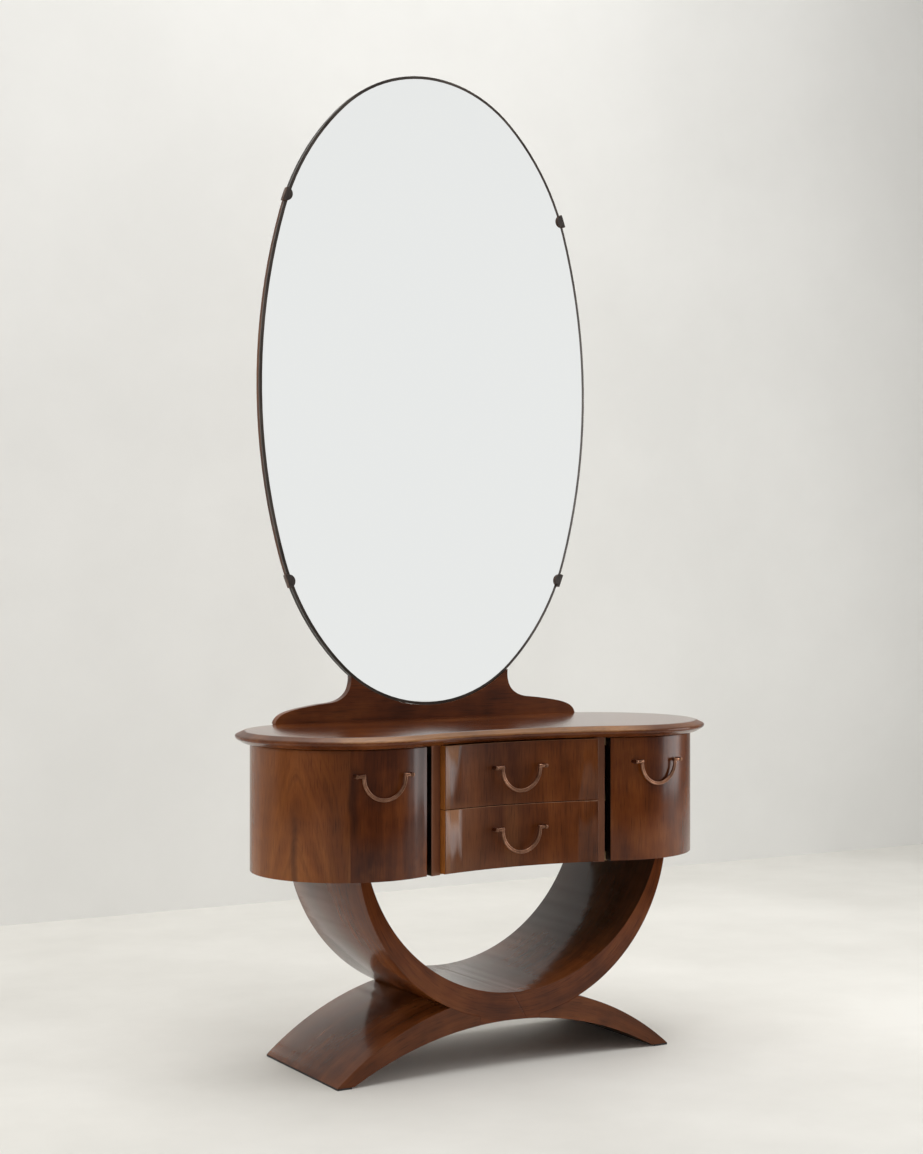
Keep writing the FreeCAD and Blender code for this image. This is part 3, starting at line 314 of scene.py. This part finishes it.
def painted_gap_shade(finish, colour, side):
    """Painted shade: the flat edge of a door that faces the drawers is made almost black, as the
    gap's shade.
    """
    x, y, z = finish.split()
    side_x, front, up = finish.facing()
    gap_shade = finish.slope(finish.math("MULTIPLY", side_x, -side), 0.80, 0.92)
    near = finish.slope(finish.math("MULTIPLY", x, side), 0.30, 0.26)
    return finish.mix(finish.math("MULTIPLY", gap_shade, near), colour, PAINTED_SHADE)


def left_door_walnut():
    """A golden flame at the left, then a dark leaf with red patches beyond a joint."""
    finish = Finish("left door walnut")
    arc, z = end_arc(finish, -1)
    bent = finish.flame(arc, z, FLAME_PLACE, 0.30, 0.010, 0.105, 0.46)
    flame_flow = (bent, z, 0.0)
    flame_wood = wood_colour(finish, flame_flow, (0.108, 0.0270, 0.0052), (0.178, 0.0500, 0.0098),
                             (0.255, 0.0830, 0.0185), 1.3, 0.9)
    golden = finish.slope(finish.math("MULTIPLY_ADD", z, 0.20, arc), -0.02, -0.14)
    flame_wood = finish.mix(finish.math("MULTIPLY", golden, 0.40), flame_wood,
                            (0.235, 0.0760, 0.0170))
    straight_wood = wood_colour(finish, (arc, z, 0.0), (0.040, 0.0075, 0.0012),
                                (0.085, 0.0185, 0.0030), (0.155, 0.0400, 0.0075), 8.4, 0.6)
    patches = finish.noise(finish.place((14, 14, 9)), 1, 3, 0.6)
    patches = finish.math("MULTIPLY", finish.slope(patches, 0.50, 0.68),
                          finish.slope(z, 0.47, 0.40))
    straight_wood = finish.mix(finish.math("MULTIPLY", patches, 0.7), straight_wood,
                               (0.165, 0.0430, 0.0080))
    flame_wood = finish.mix(finish.slope(arc, -0.145, JOINT_PLACE, 0.0, 0.50), flame_wood,
                            (0.085, 0.0215, 0.0048))
    beyond = finish.slope(arc, JOINT_PLACE - 0.0006, JOINT_PLACE + 0.0006)
    colour = finish.mix(beyond, flame_wood, straight_wood)
    wander = finish.math("MULTIPLY_ADD", finish.noise(finish.place((3, 3, 16)), 1, 2, 0.5),
                         0.016, -0.008)
    heart = finish.math("ADD", arc, wander)
    dark_lines = finish.math("MULTIPLY", finish.band(heart, FLAME_PLACE - 0.003, 0.001, 0.009),
                             finish.slope(z, 0.50, 0.41, 0.0, 0.55))
    colour = finish.mix(dark_lines, colour, (0.026, 0.0080, 0.0045))
    joint_line = finish.math("MULTIPLY", finish.band(heart, JOINT_PLACE + 0.006, 0.002, 0.010),
                             finish.band(z, 0.475, 0.03, 0.05))
    colour = finish.mix(finish.math("MULTIPLY", joint_line, 0.6), colour, (0.022, 0.006, 0.003))
    colour = pored(finish, (arc, z, 0.0), colour, 1.3)
    # The door's free edge gets painted shade.
    finish.set(Base_Color=painted_gap_shade(finish, colour, -1), Roughness=GLOSS,
               Specular_IOR_Level=SHINE)
    return finish.material


def right_door_walnut():
    """Warm upright grain."""
    finish = Finish("right door walnut")
    arc, z = end_arc(finish, 1)
    colour = wood_colour(finish, (arc, z, 0.0), (0.065, 0.0135, 0.0022), (0.130, 0.0310, 0.0047),
                         (0.200, 0.0560, 0.0105), 4.1, 0.6)
    colour = pored(finish, (arc, z, 0.0), colour, 4.1)
    # The door's free edge gets painted shade.
    finish.set(Base_Color=painted_gap_shade(finish, colour, 1), Roughness=GLOSS,
               Specular_IOR_Level=SHINE)
    return finish.material


def divider_walnut():
    """Mid brown front edges with a painted highlight on the left arris; painted shade makes the
    faces in the gaps almost black.
    """
    finish = Finish("divider walnut")
    x, y, z = finish.split()
    colour = wood_colour(finish, (x, z, y), (0.130, 0.0450, 0.0210), (0.200, 0.0740, 0.0360),
                         (0.270, 0.1050, 0.0520), 9.2, 0.5)
    side_x, front, up = finish.facing()
    # Painted highlight: the arris turned to the left is made paler.
    colour = finish.mix(finish.slope(side_x, -0.20, -0.55), colour, (0.30, 0.140, 0.080))
    # Painted shade: the faces in the gaps are made almost black.
    gap_shade = finish.slope(finish.math("ABSOLUTE", side_x), 0.86, 0.95)
    finish.set(Base_Color=finish.mix(gap_shade, colour, PAINTED_SHADE), Roughness=0.34,
               Specular_IOR_Level=0.3)
    return finish.material


def drawer_walnut():
    """Upright veneer: golden at the left edge, greyish, a lighter band, then red brown, with
    painted highlights on the upper and right arrises and painted light on the left end.
    """
    finish = Finish("drawer front walnut")
    x, y, z = finish.split()
    flow = (x, z, y)
    colour = wood_colour(finish, flow, (0.062, 0.0160, 0.0050), (0.108, 0.0310, 0.0092),
                         (0.165, 0.0520, 0.0155), 7.7, 0.6)
    red = wood_colour(finish, flow, (0.058, 0.0125, 0.0020), (0.105, 0.0255, 0.0040),
                      (0.160, 0.0440, 0.0085), 2.9, 0.6)
    colour = finish.mix(finish.slope(x, -0.02, 0.06), colour, red)
    lower = finish.slope(z, 0.475, 0.455)
    low_left = finish.math("MULTIPLY", lower, finish.slope(x, -0.04, -0.12, 0.0, 0.6))
    colour = finish.mix(low_left, colour, (0.150, 0.0490, 0.0145))
    light_band = finish.math("MULTIPLY", finish.band(x, -0.012, 0.006, 0.018),
                             finish.slope(z, 0.44, 0.49, 0.30, 0.0))
    colour = finish.mix(light_band, colour, (0.230, 0.0850, 0.0270))
    left_edge = finish.band(x, -0.151, 0.0035, 0.003)
    colour = finish.mix(finish.math("MULTIPLY", left_edge, 0.40), colour, (0.250, 0.095, 0.025))
    side_x, front, up = finish.facing()
    # Painted highlight: the upper and right-facing arrises are made paler.
    edges = finish.math("MAXIMUM", finish.slope(up, 0.25, 0.55), finish.slope(side_x, 0.35, 0.60))
    outer = finish.slope(finish.math("MAXIMUM", finish.math("ABSOLUTE", side_x),
                                     finish.math("ABSOLUTE", up)), 0.985, 0.955)
    edges = finish.math("MULTIPLY", edges, outer)
    colour = finish.mix(finish.math("MULTIPLY", edges, 0.75), colour, (0.34, 0.165, 0.085))
    # Painted light: the left end face is made bright golden, as if lit from the left.
    painted_lit_end = finish.slope(side_x, -0.75, -0.92)
    colour = finish.mix(painted_lit_end, colour, (0.42, 0.145, 0.030))
    finish.set(Base_Color=pored(finish, flow, colour, 7.7), Roughness=0.26,
               Specular_IOR_Level=SHINE)
    return finish.material


def top_walnut():
    """Lengthways grain under a clear gloss; painted light makes the worked nose golden in its
    middle.
    """
    finish = Finish("top walnut")
    x, y, z = finish.split()
    flow = (y, x, z)
    colour = wood_colour(finish, flow, (0.055, 0.0120, 0.0032), (0.115, 0.0300, 0.0078),
                         (0.200, 0.0640, 0.0190), 2.4, 0.6)
    gold = wood_colour(finish, flow, (0.125, 0.0460, 0.0125), (0.225, 0.0950, 0.0290),
                       (0.320, 0.1450, 0.0480), 6.2, 0.7)
    brown = wood_colour(finish, flow, (0.070, 0.0210, 0.0080), (0.130, 0.0450, 0.0180),
                        (0.200, 0.0800, 0.0330), 6.9, 0.7)
    # Painted light: the nose is golden in its middle and stays browner towards both ends.
    middle = finish.math("MULTIPLY", finish.slope(x, -0.39, -0.33), finish.slope(x, 0.27, 0.19))
    nose = finish.mix(middle, brown, gold)
    side_x, side_y, up = finish.facing()
    sloping = finish.math("MULTIPLY", finish.slope(up, 0.995, 0.95), finish.slope(up, 0.25, 0.55))
    colour = finish.mix(sloping, colour, nose)
    finish.set(Base_Color=pored(finish, flow, colour, 2.4),
               Roughness=finish.math("MULTIPLY_ADD", sloping, 0.24, 0.12),
               Specular_IOR_Level=0.27)
    return finish.material


def ring_walnut():
    """Grain that follows the ring, with painted shade making the inside of its right arm darkest.
    """
    finish = Finish("ring walnut")
    made = curved(0, RING_CENTRE, RING_RADIUS)(finish)
    colour = wood_colour(finish, made, (0.052, 0.0115, 0.0026), (0.112, 0.0275, 0.0058),
                         (0.175, 0.0500, 0.0115), 3.3, 0.6)
    colour = pored(finish, made, colour, 3.3)
    x, y, z = finish.split()
    side_x, front, up = finish.facing()
    # Painted shade: the inside of the right arm, in the shade of the case, is made almost black.
    inside = finish.math("MULTIPLY", finish.slope(side_x, -0.35, -0.70),
                         finish.slope(x, 0.08, 0.20, 0.0, 0.75))
    finish.set(Base_Color=finish.mix(inside, colour, PAINTED_SHADE), Roughness=0.15,
               Specular_IOR_Level=0.26)
    return finish.material


# The clips stand this far above and below the middle of the mirror's board.
CLIPS_MIDDLE = 1.205
CLIPS_REACH = 0.352


def board_edge_walnut():
    """The mirror's board: red brown between the clips, dark grey above and below them."""
    finish = Finish("mirror board")
    x, y, z = finish.split()
    wood = wood_colour(finish, (y, z, x), (0.035, 0.010, 0.004), (0.085, 0.028, 0.011),
                       (0.150, 0.058, 0.022), 3.8, 0.5)
    between = finish.band(z, CLIPS_MIDDLE, CLIPS_REACH, 0.006)
    colour = finish.mix(between, (0.026, 0.022, 0.020), wood)
    finish.set(Base_Color=colour, Roughness=0.5, Specular_IOR_Level=0.3)
    return finish.material


def clip_walnut():
    """Clips with dark stained faces and browner sides."""
    finish = Finish("clip walnut")
    grain = finish.noise(finish.place((260, 260, 60)), 1, 3, 0.5)
    side_x, front, up = finish.facing()
    face = finish.ramp(grain, (0.35, (0.032, 0.024, 0.021)), (0.65, (0.058, 0.046, 0.041)))
    edge = finish.ramp(grain, (0.35, (0.050, 0.020, 0.010)), (0.65, (0.095, 0.042, 0.022)))
    finish.set(Base_Color=finish.mix(finish.slope(front, -0.80, -0.95), edge, face),
               Roughness=0.35, Specular_IOR_Level=0.4)
    return finish.material


def mirror_glass():
    """Silvered plate glass; its bevel and edge show dark."""
    finish = Finish("silvered glass")
    side_x, front, up = finish.facing()
    flat = finish.slope(front, -0.9975, -0.9990)
    tone = finish.noise(finish.place((1, 1, 1)), 12, 3, 0.6)
    edge = finish.ramp(tone, (0.35, (0.030, 0.022, 0.018)), (0.65, (0.075, 0.060, 0.050)))
    finish.set(Base_Color=finish.mix(flat, edge, (0.9, 0.91, 0.905)),
               Metallic=finish.math("MULTIPLY_ADD", flat, 0.9, 0.1),
               Roughness=finish.math("MULTIPLY", finish.math("SUBTRACT", 1.0, flat), 0.3))
    return finish.material


def metal(name, colour, dull, gloss):
    """Metal with faint brushed lines and darker, duller patches."""
    finish = Finish(name)
    patches = finish.noise(finish.place((1, 1, 1)), 70, 4, 0.6)
    lines = finish.noise(finish.place((300, 300, 2000)), 1.0, 2, 0.5)
    tone = finish.ramp(patches, (0.35, dull), (0.65, colour))
    rough = finish.ramp(patches, (0.3, gloss + 0.15), (0.7, gloss))
    finish.set(Base_Color=tone, Metallic=1.0, Roughness=rough)
    finish.bump(lines, 0.00002, 0.2)
    return finish.material


def plain(name, dark, light, scale, rough):
    """A dull material with soft mottling, for rubber and moulded parts."""
    finish = Finish(name)
    mottle = finish.noise(finish.place((1, 1, 1)), scale, 4, 0.6)
    finish.set(Base_Color=finish.ramp(mottle, (0.35, dark), (0.65, light)), Roughness=rough)
    finish.bump(mottle, 0.0001, 0.3)
    return finish.material


COPPER = metal("copper brass", (0.37, 0.19, 0.12), (0.20, 0.098, 0.06), 0.26)


def finish_nodes():
    """Every carried CAD node gets its material."""
    frames = walnut("case walnut", upright, seed=9.2)
    ring = ring_walnut()
    foot = walnut("foot walnut", curved(*ARCH_CENTRE, ARCH_RADIUS), (0.050, 0.0120, 0.0030),
                  (0.108, 0.0290, 0.0070), (0.170, 0.0500, 0.0130), gloss=0.15, seed=5.1,
                  shine=0.26)
    # The rail's arrises get a painted highlight.
    rail = walnut("rail walnut", lengthways, (0.045, 0.0092, 0.0018), (0.100, 0.0230, 0.0045),
                  (0.165, 0.0450, 0.0095), gloss=0.30, seed=6.1, worn=0.55)
    inner = walnut("inner hardwood", lengthways, (0.34, 0.22, 0.12), (0.42, 0.28, 0.15),
                   (0.5, 0.34, 0.19), gloss=0.5)
    ply = walnut("stained plywood", upright, (0.12, 0.06, 0.03), (0.16, 0.085, 0.042),
                 (0.21, 0.12, 0.06), gloss=0.55)
    divider = divider_walnut()
    clip = clip_walnut()
    by_slot = {
        "veneer": drawer_walnut(),
        "top_veneer": top_walnut(),
        "frame_wood": frames,
        "pedestal_wood": ring,
        "rail_wood": rail,
        "inner_wood": inner,
        "plywood": ply,
        "mirror_glass": mirror_glass(),
        "pad_rubber": plain("pad rubber", (0.012, 0.011, 0.010), (0.03, 0.028, 0.026), 200, 0.8),
        "handle_brass": COPPER,
        "hinge_brass": metal("hinge brass", (0.62, 0.46, 0.24), (0.45, 0.32, 0.16), 0.35),
        "steel": metal("steel", (0.5, 0.49, 0.47), (0.36, 0.35, 0.34), 0.35),
        "catch_plastic": plain("catch housing", (0.06, 0.035, 0.02), (0.10, 0.06, 0.035), 150,
                               0.5),
    }
    by_node = {
        "left_door": left_door_walnut(),
        "right_door": right_door_walnut(),
        "left_divider": divider,
        "right_divider": divider,
        "left_foot": foot,
        "right_foot": foot,
        "mirror_board": board_edge_walnut(),
        "upper_left_clip": clip,
        "upper_right_clip": clip,
        "lower_left_clip": clip,
        "lower_right_clip": clip,
    }
    for row in frame["record"]["subparts"]:
        name = row["node"]
        thing = NODES[name]
        material = by_node.get(name, by_slot[row["material_slot"]])
        thing.data.materials.clear()
        thing.data.materials.append(material)


# The edges of these nodes are rounded by so many metres.
ARRISES = {
    "left_door": 0.0008, "right_door": 0.0008, "left_divider": 0.0008, "right_divider": 0.0008,
    "ring_left_half": 0.0010, "ring_right_half": 0.0010, "left_foot": 0.0010,
    "right_foot": 0.0010, "mirror_rail": 0.0020,
    "upper_left_clip": 0.0010, "upper_right_clip": 0.0010, "lower_left_clip": 0.0010,
    "lower_right_clip": 0.0010,
    "upper_drawer_front": 0.0012, "lower_drawer_front": 0.0012,
}


def round_arrises():
    """Rounds the worn edges with modifiers."""
    for name, width in ARRISES.items():
        weld = NODES[name].modifiers.new("weld", "WELD")
        weld.merge_threshold = 0.00001
        bevel = NODES[name].modifiers.new("arris", "BEVEL")
        bevel.width = width
        bevel.segments = 3
        bevel.limit_method = "ANGLE"
        bevel.angle_limit = math.radians(35)
        bevel.harden_normals = True


# Handles. Each bail is two round ridges side by side on a web, bent below its two feet, and
# is made about its swing axis, which stands out from the wood by AXIS_OUT.

AXIS_OUT = 0.0106
BAIL_MIDDLE = 0.0382
BAIL_TOP = 0.0033
BAIL_DROP = 0.0030
RIDGE_RADIUS = 0.00175
RIDGE_APART = 0.00155
RIDGE_FORWARD = 0.00045
WEB_BACK = 0.0008
FOOT_RADIUS = 0.0033
FOOT_INNER = 0.0355
FOOT_OUTER = 0.0468
PIN_RADIUS = 0.0016
PIN_OUTER = 0.0504
WEB_HALF_WIDTH = 0.0030
WEB_HALF_DEPTH = 0.0011
POST_PLACE = 0.0505
POST_RADIUS = 0.0034
POST_CAP = 0.0034
POST_TENON = 0.006
DRAWER_HANDLE_Y = -0.14036
DOOR_HANDLE_RADIUS = 0.15918
DOOR_HANDLE_TURN = 4
HANDLE_Z = 0.5245
LOWER_HANDLE_Z = 0.417


def new_verts(made):
    """The points among newly made geometry."""
    return [item for item in made if isinstance(item, bmesh.types.BMVert)]


def ring_edges(verts):
    """The edges between these points."""
    inside = set(verts)
    return [edge for edge in {edge for vert in verts for edge in vert.link_edges}
            if edge.verts[0] in inside and edge.verts[1] in inside]


def drawn_leg(shape, verts, rise):
    """Draws a ring of points straight up or down and gives its new end."""
    made = bmesh.ops.extrude_edge_only(shape, edges=ring_edges(verts))["geom"]
    verts = new_verts(made)
    bmesh.ops.translate(shape, vec=(0, 0, rise), verts=verts)
    return verts


def bent_bar(shape, half_width, half_depth, radius, out):
    """An oval bar: a leg down, half a turn below the axis, and a leg up."""
    verts = bmesh.ops.create_circle(shape, cap_ends=False, segments=14, radius=1)["verts"]
    bmesh.ops.scale(shape, vec=(half_width, half_depth, 1), verts=verts)
    bmesh.ops.translate(shape, vec=(radius, out, BAIL_TOP), verts=verts)
    verts = drawn_leg(shape, verts, -BAIL_TOP - BAIL_DROP)
    turned = bmesh.ops.spin(shape, geom=verts + ring_edges(verts), cent=(0, out, -BAIL_DROP),
                            axis=(0, 1, 0), angle=math.pi, steps=44)["geom_last"]
    drawn_leg(shape, new_verts(turned), BAIL_TOP + BAIL_DROP)


def round_bar(shape, radius, start, end, worn):
    """A round bar between two places, with worn rims."""
    way = Vector(end) - Vector(start)
    place = Matrix.Translation((Vector(start) + Vector(end)) / 2)
    turn = way.to_track_quat("Z", "Y").to_matrix().to_4x4()
    verts = bmesh.ops.create_cone(shape, cap_ends=True, cap_tris=False, segments=24,
                                  radius1=radius, radius2=radius, depth=way.length,
                                  matrix=place @ turn)["verts"]
    rims = [edge for edge in ring_edges(verts)
            if any(len(face.verts) > 4 for face in edge.link_faces)]
    bmesh.ops.bevel(shape, geom=rims, offset=worn, segments=3, profile=0.5, affect="EDGES",
                    material=-1)


def finished_piece(name, shape, place, body, node, material):
    """Closes a piece, puts it in its place and gives it to its body."""
    bmesh.ops.holes_fill(shape, edges=shape.edges, sides=0)
    bmesh.ops.remove_doubles(shape, verts=shape.verts, dist=0.000001)
    bmesh.ops.recalc_face_normals(shape, faces=shape.faces)
    bmesh.ops.transform(shape, matrix=place, verts=shape.verts)
    mesh = bpy.data.meshes.new(name)
    shape.to_mesh(mesh)
    shape.free()
    mesh.shade_smooth()
    mesh.set_sharp_from_angle(angle=math.radians(50))
    mesh.materials.append(material)
    made = bpy.data.objects.new(name, mesh)
    bpy.context.scene.collection.objects.link(made)
    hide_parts(node)
    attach(made, body)


def make_bail(name, place, body):
    """Two ridges on a web, with a foot and a pin at each end."""
    shape = bmesh.new()
    for side in (-1, 1):
        bent_bar(shape, RIDGE_RADIUS, RIDGE_RADIUS, BAIL_MIDDLE + side * RIDGE_APART,
                 -AXIS_OUT - RIDGE_FORWARD)
    bent_bar(shape, WEB_HALF_WIDTH, WEB_HALF_DEPTH, BAIL_MIDDLE, -AXIS_OUT + WEB_BACK)
    for side in (-1, 1):
        round_bar(shape, FOOT_RADIUS, (side * FOOT_INNER, -AXIS_OUT, 0),
                  (side * FOOT_OUTER, -AXIS_OUT, 0), 0.0007)
        round_bar(shape, PIN_RADIUS, (side * BAIL_MIDDLE, -AXIS_OUT, 0),
                  (side * PIN_OUTER, -AXIS_OUT, 0), 0.0003)
    finished_piece(name + "_bail_bent", shape, place, body, name + "_bail", COPPER)


def make_posts(name, place, body):
    """The two turned posts that hold a bail's pins."""
    shape = bmesh.new()
    for side in (-1, 1):
        round_bar(shape, POST_RADIUS, (side * POST_PLACE, POST_TENON, 0),
                  (side * POST_PLACE, -AXIS_OUT - POST_CAP, 0), 0.0012)
    finished_piece(name + "_posts_turned", shape, place, body, name + "_posts", COPPER)


def make_handles():
    """A handle on each drawer and each door, the door ones turned with the round end."""
    places = {
        "upper_drawer": Matrix.Translation((0, DRAWER_HANDLE_Y, HANDLE_Z)),
        "lower_drawer": Matrix.Translation((0, DRAWER_HANDLE_Y, LOWER_HANDLE_Z)),
    }
    turn = math.radians(DOOR_HANDLE_TURN)
    for name, side in (("left_door", -1), ("right_door", 1)):
        foot = (side * (END_CENTRE + DOOR_HANDLE_RADIUS * math.sin(turn)),
                -DOOR_HANDLE_RADIUS * math.cos(turn), HANDLE_Z)
        places[name] = Matrix.Translation(foot) @ Matrix.Rotation(side * turn, 4, "Z")
    for name, place in places.items():
        make_bail(name, place, name + "_handle")
        make_posts(name, place, name)


# Floor, wall and light.

WALL_Y = 1.69
WALL_TOP = 6
ROOM = 14.0
FLOOR_FADES_FROM = 3.4
FLOOR_FADES_TO = 5.2
MIRROR_CARD = [(1.35, -4.94, 0.30), (3.65, -3.615, 0.30), (3.65, -3.615, 3.4),
               (1.35, -4.94, 3.4)]
BLACK_CARD = [(-2.6, -5.0, 0.004), (3.6, -5.0, 0.004), (3.2, -1.35, 0.004),
              (-1.2, -1.35, 0.004)]
WORLD_LIGHT = 0.27
BACKDROP_LIGHT = 0.80


def plane(name, corners, material):
    """A large flat stage piece."""
    mesh = bpy.data.meshes.new(name)
    made = bpy.data.objects.new(name, mesh)
    bpy.context.scene.collection.objects.link(made)
    shape = bmesh.new()
    shape.faces.new([shape.verts.new(c) for c in corners])
    shape.to_mesh(mesh)
    shape.free()
    mesh.materials.append(material)


def mottled(name, dark, light, rough):
    """Painted plaster or a pale floor with faint, slow changes of tone."""
    finish = Finish(name)
    slow = finish.noise(finish.place((1, 1, 1)), 1.6, 5, 0.6)
    finish.set(Base_Color=finish.ramp(slow, (0.35, dark), (0.65, light)), Roughness=rough,
               Specular_IOR_Level=0.25)
    finish.bump(finish.noise(finish.place((1, 1, 1)), 9, 6, 0.6), 0.004, 0.15)
    return finish


def clear_where(finish, share):
    """Lets light and view through a stage piece by this share."""
    blend = finish.node("MixShader")
    finish.link(share, blend.inputs[0])
    finish.link(finish.shader.outputs[0], blend.inputs[1])
    finish.link(finish.node("BsdfTransparent").outputs[0], blend.inputs[2])
    finish.link(blend.outputs[0], finish.tree.nodes["Material Output"].inputs["Surface"])
    return finish.material


def wall_paint():
    """Pale paint; the wall is open from behind, so that the back can be seen."""
    finish = mottled("wall paint", (0.77, 0.765, 0.74), (0.81, 0.805, 0.78), 0.9)
    return clear_where(finish, finish.node("NewGeometry").outputs["Backfacing"])


def floor_paint():
    """Pale floor; far from the table the eye and the mirror see the backdrop instead."""
    finish = mottled("pale floor", (0.715, 0.70, 0.655), (0.795, 0.78, 0.735), 0.6)
    x, y, z = finish.split()
    squares = finish.math("MULTIPLY_ADD", x, x, finish.math("MULTIPLY", y, y))
    reach = finish.math("POWER", squares, 0.5)
    ray = finish.node("LightPath")
    seen = finish.math("MAXIMUM", ray.outputs["Is Camera Ray"], ray.outputs["Is Singular Ray"])
    far = finish.slope(reach, FLOOR_FADES_FROM, FLOOR_FADES_TO)
    return clear_where(finish, finish.math("MULTIPLY", seen, far))


def black_card():
    """Takes the glare of the floor off the polished fronts; nothing else meets it."""
    finish = Finish("black card")
    finish.set(Base_Color=(0.02, 0.018, 0.016), Roughness=0.9)
    ray = finish.node("LightPath")
    sheen = finish.math("MULTIPLY", ray.outputs["Is Glossy Ray"],
                        finish.math("SUBTRACT", 1.0, ray.outputs["Is Singular Ray"]))
    return clear_where(finish, finish.math("SUBTRACT", 1.0, sheen))


def mirror_card():
    """A pale glowing card that only the mirror shows: a painted reflection, and no lamp."""
    finish = Finish("mirror card")
    finish.set(Base_Color=(0, 0, 0), Roughness=1.0, Emission_Color=(0.86, 0.865, 0.86),
               Emission_Strength=1.03)
    ray = finish.node("LightPath")
    return clear_where(finish, finish.math("SUBTRACT", 1.0, ray.outputs["Is Singular Ray"]))


def make_room():
    """A pale floor and wall, the pale card that the mirror shows, and a black card."""
    plane("floor", [(-ROOM, -ROOM, 0), (ROOM, -ROOM, 0), (ROOM, WALL_Y, 0), (-ROOM, WALL_Y, 0)],
          floor_paint())
    plane("wall", [(-ROOM, WALL_Y, 0), (ROOM, WALL_Y, 0), (ROOM, WALL_Y, WALL_TOP),
                   (-ROOM, WALL_Y, WALL_TOP)], wall_paint())
    plane("mirror_card", MIRROR_CARD, mirror_card())
    plane("black_card", BLACK_CARD, black_card())


def lamp(name, place, target, size, light, glare=True):
    """A soft rectangular lamp that faces a point. Light is its brightness as a surface."""
    data = bpy.data.lights.new(name, "AREA")
    data.shape = "RECTANGLE"
    data.size, data.size_y = size
    data.energy = light * math.pi * size[0] * size[1]
    made = bpy.data.objects.new(name, data)
    made.location = place
    aim = Vector(target) - Vector(place)
    made.rotation_euler = aim.to_track_quat("-Z", "Y").to_euler()
    made.visible_glossy = glare
    bpy.context.scene.collection.objects.link(made)


def make_world():
    """Dim light from all round; the view and the mirror see it as a pale backdrop."""
    world = bpy.data.worlds.new("room")
    world.use_nodes = True
    tree = world.node_tree
    sky = tree.nodes["Background"]
    sky.inputs["Color"].default_value = (1.0, 0.985, 0.96, 1)
    ray = tree.nodes.new("ShaderNodeLightPath")
    seen = tree.nodes.new("ShaderNodeMath")
    seen.operation = "MAXIMUM"
    tree.links.new(ray.outputs["Is Camera Ray"], seen.inputs[0])
    tree.links.new(ray.outputs["Is Singular Ray"], seen.inputs[1])
    strength = tree.nodes.new("ShaderNodeMapRange")
    strength.inputs["To Min"].default_value = WORLD_LIGHT
    strength.inputs["To Max"].default_value = BACKDROP_LIGHT
    tree.links.new(seen.outputs[0], strength.inputs["Value"])
    tree.links.new(strength.outputs[0], sky.inputs["Strength"])
    bpy.context.scene.world = world


def make_light():
    """A soft room: a broad ceiling lamp and windows on both sides."""
    lamp("window", (2.7, -1.25, 1.0), (0, -0.3, 0.6), (1.5, 1.7), 4.4)
    lamp("ceiling", (0.35, 0.0, 4.0), (0, 0.0, 0.0), (4.5, 3.2), 3.0)
    lamp("left window", (-3.9, -0.5, 1.7), (0, 0, 0.7), (2.4, 2.0), 3.2, glare=False)


make_camera()
finish_nodes()
round_arrises()
make_handles()
make_room()
make_world()
make_light()

bpy.context.scene.view_settings.view_transform = "Standard"
